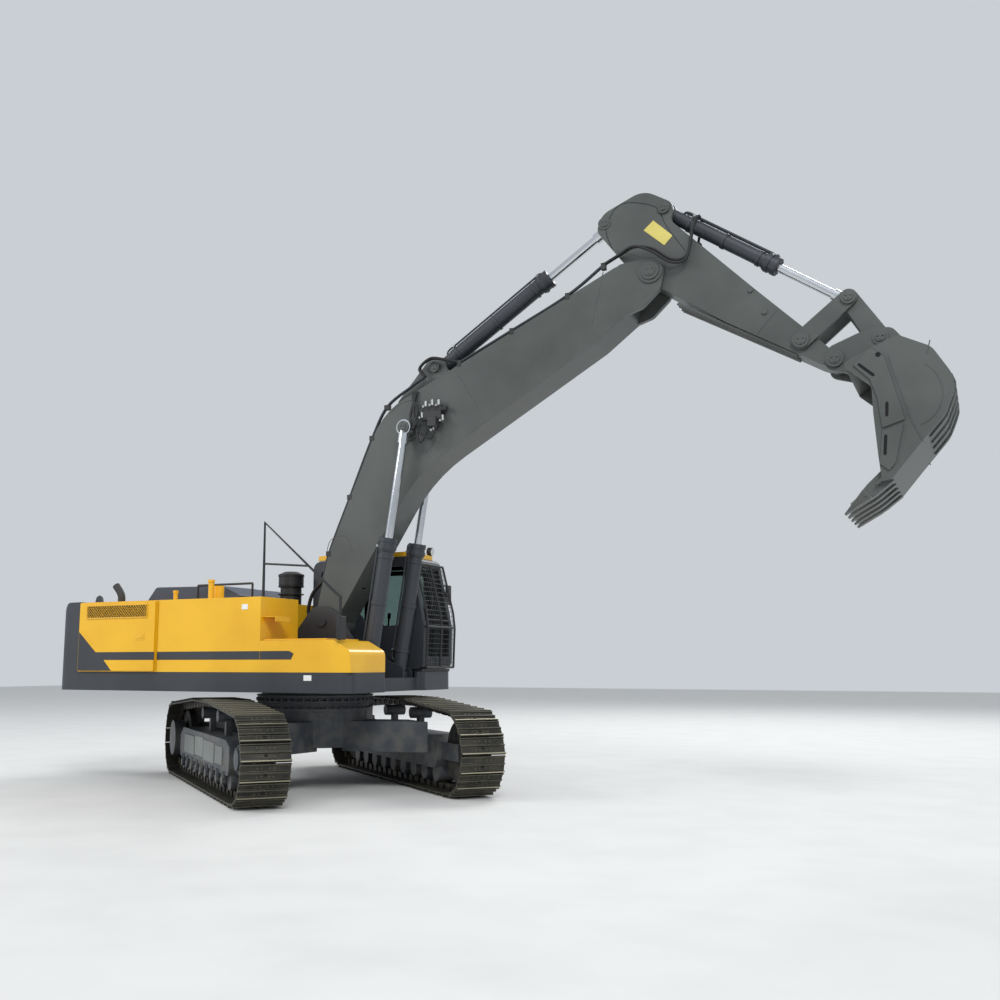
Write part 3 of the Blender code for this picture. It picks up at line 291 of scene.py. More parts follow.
# Openings and deep gaps that no light reaches.
DEEP = Finish("shadowed_gap", "#0B0B0C", "#08080A", 0.9, slot="black_paint")
# Hard black hose rubber with a dull sheen.
RUBBER = Finish("extruded_hose_rubber", "#17181A", "#111213", 0.6, grain_mm=2.0, grain_depth_mm=0.1,
                slot="black_plastic")
# Zinc-plated fittings: pale silver, slightly rough.
ZINC = Finish("zinc_plated_fitting", "#A9ACAB", "#8F9291", 0.35, 0.9, 2.0, 0.05, slot="chrome")
# Plain white and yellow vinyl stickers without any print.
VINYL_WHITE = Finish("blank_white_vinyl", "#E8E9E6", "#DCDDD9", 0.4, slot="yellow_paint")
VINYL_YELLOW = Finish("blank_yellow_vinyl", "#CDBF6A", "#C2B35E", 0.4, slot="yellow_paint")
# Ground wear steel on tooth tips and cutters: dull grey with bright rubbed edges.
WEAR = Finish("cast_wear_steel", "#5B5D5C", "#484A4A", 0.5, 0.6, 4.0, 0.3, Grime.WORN, "#7B705A", "#A8A9A6",
              slot="track_steel")
# Silvered glass: a clean mirror.
SILVER = Finish("silvered_mirror_glass", "#D5DADD", "#D5DADD", 0.04, 1.0, slot="chrome")
# Clear and red moulded lenses: smooth, with a small bright highlight.
LENS = Finish("clear_lamp_lens", "#D9DCD8", "#C9CCC8", 0.12, 0.3, slot="chrome")
RED = Finish("red_lamp_lens", "#8E1414", "#7A1010", 0.2, slot="black_plastic")

SLOT_FINISH = {finish.slot: finish for finish in (
    YELLOW, BOOM_GREY, CHARCOAL, HOOD_BLUE, BLACK, TRACK, FRAME, CAST, CHROME, CLOTH, PLASTIC)}


@dataclass(frozen=True)
class Glazing:
    """Clear tinted safety glass: dark green-grey with sharp reflections."""

    tint: str = "#9FB0AC"
    ior: float = 1.12
    roughness: float = 0.02
    slot: str = "black_plastic"

    @functools.cache
    def build(self) -> bpy.types.Material:
        """Return the see-through material, made once."""
        material = bpy.data.materials.new("tinted_safety_glass")
        material.use_nodes = True
        inputs = material.node_tree.nodes["Principled BSDF"].inputs
        inputs["Base Color"].default_value = linear(self.tint)
        inputs["Transmission Weight"].default_value = 1.0
        inputs["Roughness"].default_value = self.roughness
        inputs["IOR"].default_value = self.ior
        return material


GLASS = Glazing()


@dataclass
class Paintwork:
    """Gives each CAD node the procedural finish of its slot."""

    shop: "Shop"

    def dress(self) -> None:
        """Assign the materials."""
        frame = self.shop.frame
        slots = {row["node"]: row["material_slot"] for row in frame["record"]["subparts"]}
        for name, obj in frame["nodes"].items():
            material = SLOT_FINISH[slots[name]].build()
            if not obj.material_slots:
                obj.data.materials.append(material)
            for slot in obj.material_slots:
                slot.material = material
        log.info("painted %d nodes", len(slots))


class Shape:
    """Collects simple solids in one mesh and turns them into a piece that rides on a body."""

    def __init__(self, origin: Point = (0, 0, 0)) -> None:
        """Start an empty mesh, measured from origin."""
        self.bm = bmesh.new()
        self.origin = Vector(origin)

    def prism(self, outline: Outline, low: float, high: float, axis: str = "y",
              turn: Matrix | None = None) -> "Shape":
        """Extrude a closed outline along an axis.

        Args:
            outline: (x, z) for axis y, (x, y) for axis z, (y, z) for axis x.
            low: start along the axis.
            high: end along the axis.
            axis: "x", "y" or "z".
            turn: matrix laid on the result.

        Returns:
            This shape, so that calls can be chained.
        """
        place = {"y": lambda a, b, c: (a, c, b), "z": lambda a, b, c: (a, b, c),
                 "x": lambda a, b, c: (c, a, b)}[axis]
        ends = [[self.bm.verts.new(place(a, b, c)) for a, b in outline] for c in (low, high)]
        faces = [self.bm.faces.new(ends[0]), self.bm.faces.new(ends[1])]
        for i in range(len(outline)):
            faces.append(self.bm.faces.new((ends[0][i - 1], ends[0][i], ends[1][i], ends[1][i - 1])))
        bmesh.ops.recalc_face_normals(self.bm, faces=faces)
        if turn:
            bmesh.ops.transform(self.bm, matrix=turn, verts=ends[0] + ends[1])
        return self

    def box(self, low: Point, high: Point, turn: Matrix | None = None) -> "Shape":
        """Add a box between two corners."""
        return self.prism([(low[0], low[2]), (high[0], low[2]), (high[0], high[2]), (low[0], high[2])],
                          low[1], high[1], "y", turn)

    def rod(self, start: Point, end: Point, radius: float, sides: int = 20,
            far_radius: float | None = None) -> "Shape":
        """Add a cylinder or cone between two points.

        Args:
            start: centre of the first end.
            end: centre of the other end.
            radius: radius at the start.
            sides: facets around it.
            far_radius: radius at the end, the same where it isn't given.

        Returns:
            This shape.
        """
        start, end = Vector(start), Vector(end)
        made = bmesh.ops.create_cone(self.bm, cap_ends=True, segments=sides, radius1=radius,
                                     radius2=radius if far_radius is None else far_radius,
                                     depth=(end - start).length)
        turn = Vector((0, 0, 1)).rotation_difference(end - start).to_matrix().to_4x4()
        bmesh.ops.transform(self.bm, matrix=Matrix.Translation((start + end) / 2) @ turn,
                            verts=made["verts"])
        return self

    def tube(self, points: Outline, radius: float, sides: int = 10, smooth: bool = True) -> "Shape":
        """Sweep a round section along points.

        Args:
            points: the line through the section's middle.
            radius: the section's radius.
            sides: facets around it.
            smooth: run a Catmull-Rom curve through the points.

        Returns:
            This shape.
        """
        line = [Vector(p) for p in points]
        if smooth and len(line) > 2:
            line = self._smoothed(line)
        rings = []
        normal = None
        for i, point in enumerate(line):
            along = (line[min(i + 1, len(line) - 1)] - line[max(i - 1, 0)]).normalized()
            if normal is None:
                normal = along.orthogonal().normalized()
            normal = (normal - along * normal.dot(along)).normalized()
            across = along.cross(normal)
            turns = [2 * math.pi * k / sides for k in range(sides)]
            rings.append([self.bm.verts.new(point + radius * (normal * math.cos(a) + across * math.sin(a)))
                          for a in turns])
        faces = [self.bm.faces.new(rings[0]), self.bm.faces.new(rings[-1])]
        for first, second in zip(rings, rings[1:]):
            for k in range(sides):
                faces.append(self.bm.faces.new((first[k - 1], first[k], second[k], second[k - 1])))
        bmesh.ops.recalc_face_normals(self.bm, faces=faces)
        return self

    @staticmethod
    def _smoothed(line: list, steps: int = 6) -> list:
        """Run a Catmull-Rom curve through a line.

        Args:
            line: its points.
            steps: points for each stretch.

        Returns:
            The curve's points.
        """
        padded = [2 * line[0] - line[1], *line, 2 * line[-1] - line[-2]]
        curve = []
        for p0, p1, p2, p3 in zip(padded, padded[1:], padded[2:], padded[3:]):
            for k in range(steps):
                t = k / steps
                curve.append(0.5 * (2 * p1 + (p2 - p0) * t + (2 * p0 - 5 * p1 + 4 * p2 - p3) * t * t
                                    + (3 * p1 - p0 - 3 * p2 + p3) * t ** 3))
        return curve + [line[-1]]

    def bolt(self, place: Point, axis: Point, size: float = 0.012) -> "Shape":
        """Add a hexagon bolt head with its washer, standing on place along axis."""
        place, axis = Vector(place), Vector(axis).normalized()
        self.rod(place, place + axis * size * 0.25, size * 1.25, 12)
        return self.rod(place, place + axis * size * 0.9, size, 6)

    def finish(self, name: str, finish: "Finish | Glazing", body: str | None,
               bevel: float = 0.0) -> bpy.types.Object:
        """Turn the collected solids into one piece.

        Args:
            name: the piece's name.
            finish: its finish.
            body: the CAD body it rides on, or None to leave it unattached.
            bevel: width of a rounded edge, 0 for none.

        Returns:
            The new object.
        """
        mesh = bpy.data.meshes.new(name)
        self.bm.transform(Matrix.Translation(self.origin))
        self.bm.to_mesh(mesh)
        self.bm.free()
        obj = bpy.data.objects.new(name, mesh)
        bpy.context.collection.objects.link(obj)
        mesh.materials.append(finish.build())
        mesh.shade_smooth()
        mesh.set_sharp_from_angle(angle=math.radians(SHARP_DEGREES))
        if bevel:
            edge = obj.modifiers.new("edge", "BEVEL")
            edge.width = bevel
            edge.segments = 2
            edge.limit_method = "ANGLE"
        if body:
            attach(obj, body)
        log.info("%s: %d faces", name, len(mesh.polygons))
        return obj


@dataclass
class Shop:
    """The frame and its joint places."""

    frame: dict

    def __post_init__(self) -> None:
        """Read the places of the joints."""
        self.joints = {row["name"]: Vector(row["pos_m"]) for row in
                       self.frame["record"]["behaviour"]["joints"] if row.get("pos_m")}

    def meets(self, node: str, start: Vector, direction: Vector) -> Vector:
        """Find where a ray meets a CAD node.

        Args:
            node: node name.
            start: where the ray starts.
            direction: where it goes.

        Returns:
            The point, in the frame.
        """
        obj = self.frame["nodes"][node]
        back = obj.matrix_world.inverted()
        aim = (back.to_3x3() @ direction).normalized()
        return obj.matrix_world @ obj.ray_cast(back @ start, aim)[1]

    def middle(self, node: str) -> Vector:
        """Return the centre of a CAD node."""
        low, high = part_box(node)
        return (Vector(low) + Vector(high)) / 2


@dataclass
class Track:
    """One crawler chain: links, triple-grouser shoes and their bolts."""

    shop: Shop
    side: str
    pitch: float = 0.2160
    shoe_width: float = 0.60
    loop_radius: float = 0.55
    carrier_top: float = 1.21
    carriers: tuple = (0.62, -0.42)
    carrier_outer: float = 0.22
    grouser: float = 0.030
    plate: float = 0.016
    sag: float = 0.0065

    def build(self) -> None:
        """Build the chain around its wheels."""
        idler = self.shop.middle(f"{self.side}_idler")
        sprocket = self.shop.middle(f"{self.side}_sprocket")
        along = (idler - sprocket)
        self.half = along.length / 2
        centre = (idler + sprocket) / 2
        angle = math.atan2(along.y, along.x)
        self.frame = Matrix.Translation((centre.x, centre.y, 0)) @ Matrix.Rotation(angle, 4, "Z")
        inward = self.grouser + self.plate + self.sag
        line = self._loop(inward)
        total = sum((b - a).length for a, b in zip(line, line[1:]))
        count = round(total / self.pitch)
        step = total / count
        shapes = shoes, links, holes, crests = Shape(), Shape(), Shape(), Shape()
        for k in range(count):
            here, tangent = self._walk(line, step * (k + 0.5))
            normal = Vector((tangent.y, -tangent.x))
            basis = Matrix(((tangent.x, 0, normal.x, here.x), (0, 1, 0, 0),
                            (tangent.y, 0, normal.y, here.y), (0, 0, 0, 1)))
            self._shoe(shapes, self.frame @ basis, step)
        piece = shoes.finish(f"{self.side}_track_shoes", TRACK, "undercarriage", 0.003)
        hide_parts(f"{self.side}_track")
        for shape, name, finish in ((links, "links", LINK), (crests, "rubbed_crests", CREST),
                                    (holes, "mud_holes", DEEP)):
            shape.finish(f"{self.side}_track_{name}", finish, "undercarriage")

    def _loop(self, inward: float) -> list:
        """Run the closed line of the shoe plates' inner faces, fine enough to walk along.

        Args:
            inward: how far inside the CAD loop it lies.

        Returns:
            Its points, as (along, up).
        """
        r = self.loop_radius - inward
        rc = self.carrier_outer - inward
        wheels = [(-self.half, self.loop_radius, r), (self.half, self.loop_radius, r)]
        wheels += [(x, self.carrier_top - self.carrier_outer, rc) for x in self.carriers]
        normals = []
        for (x0, z0, r0), (x1, z1, r1) in zip(wheels, wheels[1:] + wheels[:1]):
            reach = Vector((x1 - x0, z1 - z0))
            way = reach.normalized()
            lean = (r0 - r1) / reach.length
            normals.append(way * lean + Vector((way.y, -way.x)) * math.sqrt(1 - lean * lean))
        points = []
        for i, (x, z, radius) in enumerate(wheels):
            start = math.atan2(normals[i - 1].y, normals[i - 1].x)
            sweep = (math.atan2(normals[i].y, normals[i].x) - start) % (2 * math.pi)
            for k in range(25):
                a = start + sweep * k / 24
                points.append(Vector((x + radius * math.cos(a), z + radius * math.sin(a))))
        return points + points[:1]

    @staticmethod
    def _walk(line: list, distance: float) -> tuple:
        """Go a distance along a line.

        Args:
            line: its points.
            distance: how far to go.

        Returns:
            (point, tangent).
        """
        for a, b in zip(line, line[1:]):
            length = (b - a).length
            if distance <= length and length > 0:
                return a + (b - a) * (distance / length), (b - a) / length
            distance -= length
        return line[-1], (line[-1] - line[-2]).normalized()

    def _shoe(self, shapes: tuple, place: Matrix, step: float) -> None:
        """Add one shoe with its grousers, bolts and links.

        Args:
            shapes: the meshes of shoes, links, mud holes and rubbed crests.
            place: where the shoe sits.
            step: distance from shoe to shoe.
        """
        shoes, links, holes, crests = shapes
        half_w = self.shoe_width / 2
        half = step / 2
        t, g = self.plate, self.grouser
        low, mid, high = t + g * 0.75, t + g * 0.8, t + g
        profile = [(-half - 0.006, 0), (half - 0.010, 0), (half - 0.004, t * 0.8), (half - 0.008, low),
                   (half - 0.018, low), (half - 0.028, t), (0.014, t), (0.006, mid), (-0.006, mid),
                   (-0.014, t), (-half + 0.026, t), (-half + 0.016, high), (-half + 0.002, high),
                   (-half - 0.006, t)]
        shoes.prism(profile, -half_w, half_w, "y", place)
        for x in (-0.052, 0.050):
            for y in (-0.10, -0.045, 0.045, 0.10):
                top = place @ Vector((x, y, t))
                axis = place.to_3x3() @ Vector((0, 0, 1))
                shoes.rod(top, top + axis * 0.013, 0.013, 6)
        # Painted shade: a thin dark patch on the plate stands for each mud hole.
        holes.box((-0.045, -0.018, t + 0.0008), (-0.020, 0.018, t + 0.0016), place)
        for y in (-0.085, 0.085):
            for x0, x1, shift in ((-half, 0.01, 0.012), (-0.01, half, -0.012)):
                links.box((x0 - 0.01, y + shift - 0.016, -0.078),
                          (x1 + 0.01, y + shift + 0.016, -0.001), place)
        crests.box((-half + 0.003, -half_w + 0.004, high - 0.001),
                   (-half + 0.015, half_w - 0.004, high + 0.0015), place)
        pin = [place @ Vector((-half, y, -0.045)) for y in (-0.12, 0.12)]
        links.rod(*pin, 0.028, 12)


def slewed() -> Shape:
    """Return a Shape whose points are measured from the slew axis."""
    return Shape((SLEW_X, 0, 0))


def span(side: int, near: float, far: float) -> list:
    """Return [low, high] along Y of a layer from near to far on one side of the machine."""
    return sorted((side * near, side * far))


def clip(outline: list, low: float, high: float) -> list:
    """Cut an outline to low <= x <= high.

    Args:
        outline: (x, z) points.
        low: rear limit.
        high: front limit.

    Returns:
        The outline that is left.
    """
    for limit, sign in ((low, 1), (high, -1)):
        kept = []
        for (x0, z0), (x1, z1) in zip(outline, outline[1:] + outline[:1]):
            a, b = sign * (x0 - limit), sign * (x1 - limit)
            if a >= 0:
                kept.append((x0, z0))
            if a * b < 0:
                kept.append((limit, z0 + (z1 - z0) * a / (a - b)))
        outline = kept
    return outline


@dataclass
class House:
    """Bodywork details: stripes, grilles, latches, hood trim, mirror, labels and tail."""

    shop: Shop
    skin: float = 1.49
    door_skin: float = 1.528
    label_y: float = -1.4925
    deck_top: float = 2.545

    def build(self) -> None:
        """Build all bodywork details."""
        self._stripes()
        self._grilles()
        self._latches()
        self._roof_parts()
        self._tail()
        self._mirror_and_labels()

    def _stripes(self) -> None:
        """Dark band along both sides, broken at the panel joints."""
        band = [(-3.10, 2.13), (-2.76, 1.835), (0.57, 1.835), (0.64, 1.80), (0.60, 1.725),
                (-2.60, 1.725), (-2.45, 1.575), (-3.10, 1.575)]
        rows = [("right_rear_door_stripe", -1, -3.095, -1.665, "right_rear_door_body"),
                ("tank_stripe", -1, -1.645, 0.098, "upper_structure"),
                ("toolbox_stripe", -1, 0.104, 0.70, "upper_structure"),
                ("left_rear_door_stripe", 1, -3.095, -1.86, "left_rear_door_body"),
                ("left_front_door_stripe", 1, -1.84, -0.57, "left_front_door_body")]
        for name, side, low, high, body in rows:
            skin = self.door_skin if "door" in name else self.skin
            y = span(side, skin - 0.001, skin + 0.0025)
            slewed().prism(clip(band, low, high), *y).finish(name, CHARCOAL, body)

    def _grilles(self) -> None:
        """Cross-hatched air grilles in the rear doors and louvres in the left front door."""
        for side, body in ((-1, "right_rear_door_body"), (1, "left_rear_door_body")):
            y0 = side * (self.door_skin + 0.001)
            x0, x1, z0, z1 = -2.96, -1.98 if side > 0 else -1.82, 2.315, 2.495
            name = "right" if side < 0 else "left"
            low, high = sorted((y0, y0 + side * 0.002))
            # Painted shade: a thin dark sheet flush with the door stands for the shadowed space behind the
            # mesh.
            dark = slewed().box((x0, low, z0), (x1, high, z1))
            dark.finish(f"{name}_grille_opening", DEEP, body)
            net = slewed()
            y = y0 + side * 0.004
            step = 0.045
            height = z1 - z0
            count = int((x1 - x0 + height) / step)
            for k in range(1, count):
                for lean in (1, -1):
                    a = x0 - height + step * k if lean > 0 else x0 + step * k
                    ends = [(a, z0), (a + lean * height, z1)]
                    ends = self._inside(ends, x0, x1)
                    if ends:
                        net.rod((ends[0][0], y, ends[0][1]), (ends[1][0], y, ends[1][1]), 0.0045, 4)
            corners = ((x0, z0), (x1, z0), (x1, z1), (x0, z1))
            for a, b in zip(corners, corners[1:] + corners[:1]):
                net.rod((a[0], y, a[1]), (b[0], y, b[1]), 0.009, 6)
            net.finish(f"{name}_grille_mesh", YELLOW, body)
        louvres = slewed()
        for k in range(7):
            z = 2.16 + 0.045 * k
            louvres.prism([(self.door_skin - 0.001, z), (self.door_skin + 0.014, z + 0.006),
                           (self.door_skin - 0.001, z + 0.03)],
                          -1.60, -0.85, "x")
        louvres.finish("left_front_door_louvres", YELLOW, "left_front_door_body")

    @staticmethod
    def _inside(ends: list, x0: float, x1: float) -> list | None:
        """Shorten a slanted bar.

        Args:
            ends: its two (x, z) ends.
            x0: rear limit.
            x1: front limit.

        Returns:
            The new ends, or None where nothing is left.
        """
        (a, za), (b, zb) = ends
        for limit, keep in ((x0, max), (x1, min)):
            if (a < x0 and b < x0) or (a > x1 and b > x1):
                return None
            for _ in range(2):
                if keep(a, limit) != a:
                    za += (limit - a) * (zb - za) / (b - a)
                    a = limit
                a, za, b, zb = b, zb, a, za
        return [(a, za), (b, zb)] if abs(a - b) > 0.005 else None

    def _latches(self) -> None:
        """Recessed paddle latches and lock barrels on the doors."""
        rows = [("right_rear_door", -1, -1.94, 2.045), ("left_rear_door", 1, -1.98, 2.045),
                ("left_front_door", 1, -1.72, 2.045)]
        for node, side, x, z in rows:
            piece = slewed()
            y = side * self.door_skin
            for half_x, half_z, rise in ((0.085, 0.05, 0.003), (0.06, 0.028, 0.008)):
                low, high = sorted((y, y + side * rise))
                piece.box((x - half_x, low, z - half_z), (x + half_x, high, z + half_z))
            piece.rod((x + 0.03, y, z), (x + 0.03, y + side * 0.013, z), 0.012, 16)
            piece.finish(f"{node}_latch", YELLOW, f"{node}_body", 0.002)
            hinge = slewed()
            edge = -3.088 if node.endswith("rear_door") else -0.587
            y = side * (self.skin + 0.018)
            for z in (1.75, 2.40):
                hinge.rod((edge, y, z - 0.05), (edge, y, z + 0.05), 0.009, 10)
            hinge.finish(f"{node}_hinges", BLACK, "upper_structure")

    def _roof_parts(self) -> None:
        """Hood ribs and latches, tail pipe, tank caps, pre-cleaner trim and roof rails."""
        hood = slewed()
        for k in range(9):
            x = -2.42 + 0.11 * k
            hood.box((x, -0.34, 2.809), (x + 0.06, 0.52, 2.818))
        for y in (-0.30, 0.48):
            hood.box((-1.20, y - 0.03, 2.60), (-0.93, y + 0.03, 2.625))
        hood.finish("hood_slats", HOOD_BLUE, "hood_body", 0.003)
        pipe = slewed().tube([(-2.86, -0.95, self.deck_top), (-2.86, -0.95, 2.66), (-2.90, -0.95, 2.74),
                              (-2.98, -0.95, 2.83)], 0.055, 20)
        pipe.finish("engine_tail_pipe", CAST, "upper_structure")
        caps = slewed()
        for x, y, r, h in ((-0.97, -1.20, 0.05, 0.24), (-1.82, -0.95, 0.04, 0.13)):
            caps.rod((x, y, self.deck_top), (x, y, 2.55 + h), r * 0.8, 20)
            caps.rod((x, y, 2.55 + h), (x, y, 2.59 + h), r, 8)
        caps.finish("tank_caps", YELLOW, "upper_structure", 0.002)
        middle = self.shop.middle("pre_cleaner")
        low, high = (Vector(v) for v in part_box("pre_cleaner"))
        radius = (high.x - low.x) / 2
        trim = Shape()
        x, y, top = middle.x, middle.y, high.z
        trim.rod((x, y, top - 0.005), (x, y, top + 0.03), radius * 1.04, 32)
        trim.rod((x, y, top + 0.03), (x, y, top + 0.07), radius, 32, radius * 0.55)
        for part in (0.35, 0.62):
            here = low.z + (top - low.z) * part
            trim.rod((x, y, here), (x, y, here + 0.016), radius * 1.03, 32)
        trim.finish("pre_cleaner_cap", PLASTIC, "upper_structure", 0.003)
        deck = slewed()
        for x in (-1.60, -0.62):
            deck.rod((x, -0.72, self.deck_top), (x, -0.72, 2.80), 0.016, 12)
        deck.rod((-1.60, -0.72, 2.80), (-0.62, -0.72, 2.80), 0.016, 12)
        deck.finish("tank_deck_rail", BLACK, "upper_structure")

    def _tail(self) -> None:
        """Counterweight trim: lifting eyes and tail lamps."""
        eyes = slewed()
        for y in (-1.0, 1.0):
            eyes.prism([(-3.33, 2.555), (-3.17, 2.555), (-3.20, 2.66), (-3.25, 2.69), (-3.30, 2.66)],
                       y - 0.02, y + 0.02)
        eyes.finish("counterweight_lifting_eyes", CHARCOAL, "upper_structure", 0.004)
        lamps = slewed()
        for y in (-1.15, 1.15):
            low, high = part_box("counterweight")
            x = low[0] - SLEW_X + 0.035
            lamps.box((x - 0.02, y - 0.11, 2.16), (x + 0.06, y + 0.11, 2.24))
        lamps.finish("tail_lamps", RED, "upper_structure", 0.006)

    def _mirror_and_labels(self) -> None:
        """Right mirror on its post, tank bracket and the blank skirt label."""
        post = slewed().tube([(1.24, -1.33, 2.10), (1.30, -1.40, 2.14), (1.33, -1.46, 2.12)], 0.012)
        post.finish("right_mirror_post", BLACK, "upper_structure")
        head = slewed().box((1.325, -1.56, 1.97), (1.365, -1.38, 2.27))
        head.finish("right_mirror_shell", PLASTIC, "upper_structure", 0.012)
        face = slewed().box((1.322, -1.545, 1.985), (1.3245, -1.395, 2.255))
        face.finish("right_mirror_glass", SILVER, "upper_structure")
        shelf = slewed().prism([(0.098, 2.28), (0.30, 2.28), (0.30, 2.22), (0.31, 2.22), (0.31, 2.29),
                                (0.098, 2.29)], -1.44, -1.10)
        shelf.finish("tank_front_bracket", YELLOW, "upper_structure", 0.002)
        y = self.label_y
        for name, x, z, half_x in (("skirt_blank_label", 0.86, 1.49, 0.06),
                                   ("tank_blank_label", -0.16, 2.42, 0.05)):
            label = slewed().box((x - half_x, y, z - 0.035), (x + half_x, y + 0.003, z + 0.035))
            label.finish(name, VINYL_WHITE, "upper_structure")


@dataclass
class Cab:
    """Glazing, guard, lamps, wiper, mirror and inside of the cab."""

    shop: Shop
    inner: float = 0.575
    outer: float = 1.49

    def build(self) -> None:
        """Build the cab's details."""
        self._glass()
        self._guard()
        self._outside()
        self._inside()

    def _glass(self) -> None:
        """Panes set in the middle of the walls."""
        side = [(-0.34, 2.19), (1.27, 2.19), (1.16, 3.11), (-0.34, 3.10)]
        rows = [("right_window", "y", side, 0.596, 0.602, "upper_structure"),
                ("quarter_window", "y", [(-0.36, 2.19), (-0.03, 2.19), (-0.03, 3.09), (-0.36, 3.09)],
                 1.462, 1.468, "upper_structure"),
                ("door_window", "y", [(0.075, 2.17), (1.005, 2.17), (1.005, 3.05), (0.075, 3.05)],
                 1.465, 1.471, "cab_door_body"),
                ("rear_window", "x", [(0.665, 2.27), (1.40, 2.27), (1.40, 3.05), (0.665, 3.05)],
                 -0.430, -0.424, "upper_structure"),
                ("roof_window", "z", [(0.17, 0.725), (0.88, 0.725), (0.88, 1.34), (0.17, 1.34)],
                 3.205, 3.211, "upper_structure")]
        for name, axis, outline, low, high, body in rows:
            slewed().prism(outline, low, high, axis).finish(name, GLASS, body)
        front = slewed()
        bend = [(1.405, 1.76), (1.425, 2.20), (1.395, 2.45), (1.245, 3.10)]
        back = [(x - 0.006, z) for x, z in bend]
        front.prism(bend + back[::-1], 0.65, 1.415)
        front.finish("windscreen", GLASS, "upper_structure")
        frame = slewed()
        frame.rod((1.425, 0.655, 2.30), (1.425, 1.41, 2.30), 0.016, 10)
        frame.finish("windscreen_bar", BLACK, "upper_structure")

    def _guard(self) -> None:
        """Bolt-on lattice in front of the windscreen."""
        line = [(1.475, 1.62), (1.50, 2.20), (1.475, 2.42), (1.30, 3.12)]
        y0, y1 = 0.60, 1.47
        frame = slewed()
        for y in (y0, (y0 + y1) / 2, y1):
            for (xa, za), (xb, zb) in zip(line, line[1:]):
                frame.rod((xa, y, za), (xb, y, zb), 0.017, 8)
        for x, z in (line[0], line[1], line[3]):
            frame.rod((x, y0, z), (x, y1, z), 0.017, 8)
            for y in (y0, y1):
                frame.rod((x - 0.09, y, z), (x, y, z), 0.012, 8)
        frame.finish("cab_guard_frame", BLACK, "upper_structure")
        net = slewed()
        for k in range(1, 22):
            z = line[0][1] + (line[3][1] - line[0][1]) * k / 22
            x = self._at(line, z)
            net.rod((x, y0, z), (x, y1, z), 0.0035, 5)
        for k in range(1, 14):
            y = y0 + (y1 - y0) * k / 14
            for (xa, za), (xb, zb) in zip(line, line[1:]):
                net.rod((xa, y, za), (xb, y, zb), 0.0035, 5)
        net.finish("cab_guard_lattice", BLACK, "upper_structure")

    @staticmethod
    def _at(line: list, z: float) -> float:
        """Find the guard's side line at a height.

        Args:
            line: (x, z) points, from the foot up.
            z: the height.

        Returns:
            x on the line.
        """
        for (xa, za), (xb, zb) in zip(line, line[1:]):
            if za <= z <= zb:
                return xa + (xb - xa) * (z - za) / (zb - za)
        return line[-1][0]

    def _outside(self) -> None:
        """Roof lamps, left mirror, grab rail, door handle, wiper and door ribs."""
        lamps, lenses = slewed(), slewed()
        for y in (0.72, 1.34):
            lamps.rod((1.12, y, 3.36), (1.19, y, 3.35), 0.062, 20)
            lamps.rod((1.11, y, 3.27), (1.13, y, 3.34), 0.012, 8)
            lenses.rod((1.19, y, 3.35), (1.196, y, 3.349), 0.055, 20)
        lamps.finish("roof_lamp_shells", PLASTIC, "upper_structure", 0.004)
        lenses.finish("roof_lamp_lenses", LENS, "upper_structure")
        rail = slewed().tube([(1.28, 1.495, 2.0), (1.28, 1.53, 2.02), (1.20, 1.53, 2.75),
                              (1.20, 1.495, 2.78)], 0.013)
        rail.tube([(1.26, 1.50, 2.82), (1.30, 1.54, 2.84), (1.36, 1.56, 2.80)], 0.011)
        rail.finish("cab_grab_rail", BLACK, "upper_structure")
        shell = slewed().box((1.34, 1.47, 2.55), (1.37, 1.63, 2.85))
        shell.finish("left_mirror_shell", PLASTIC, "upper_structure", 0.01)
        face = slewed().box((1.337, 1.485, 2.565), (1.3395, 1.615, 2.835))
        face.finish("left_mirror_glass", SILVER, "upper_structure")
        handle = slewed().box((0.92, 1.488, 2.02), (1.02, 1.512, 2.06))
        handle.finish("cab_door_handle", PLASTIC, "cab_door_body", 0.006)
        wiper = slewed().tube([(1.43, 0.80, 2.36), (1.40, 0.95, 2.60), (1.37, 1.0, 2.72)], 0.007)
        wiper.rod((1.425, 0.90, 2.50), (1.30, 1.08, 3.0), 0.006, 6)
        wiper.finish("wiper", BLACK, "upper_structure")
        ribs = slewed()
        for z in (1.72, 1.80, 1.88):
            ribs.box((0.12, 1.4895, z), (0.96, 1.495, z + 0.03))
        ribs.finish("cab_door_ribs", CHARCOAL, "cab_door_body", 0.002)

    def _inside(self) -> None:
        """Padded seat, head rest, armrests, levers, pedals and display."""
        mid = (self.inner + self.outer) / 2
        seat = cushion("seat_cushion_pad", (0.20, mid, 2.052), (0.56, 0.50, 0.15), 0)
        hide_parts("seat_cushion")
        back = cushion("seat_back_pad", (-0.145, mid, 2.48), (0.15, 0.48, 0.74), -7)
        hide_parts("seat_back")
        rest = cushion("head_rest_pad", (-0.20, mid, 2.93), (0.09, 0.26, 0.16), -7)
        parts = slewed()
        for y in (mid - 0.31, mid + 0.31):
            parts.box((-0.02, y - 0.035, 2.22), (0.34, y + 0.035, 2.26))
            parts.rod((0.42, y, 2.20), (0.44, y, 2.38), 0.014, 12)
            parts.rod((0.44, y, 2.36), (0.445, y, 2.44), 0.026, 14)
        parts.box((1.02, self.inner + 0.07, 2.30), (1.06, self.inner + 0.27, 2.46))
        for y in (mid - 0.10, mid + 0.10):
            parts.rod((1.10, y, 1.65), (1.02, y, 2.05), 0.012, 10)
            parts.box((1.06, y - 0.05, 1.66), (1.20, y + 0.05, 1.69))
        parts.finish("driver_controls", PLASTIC, "upper_structure", 0.004)


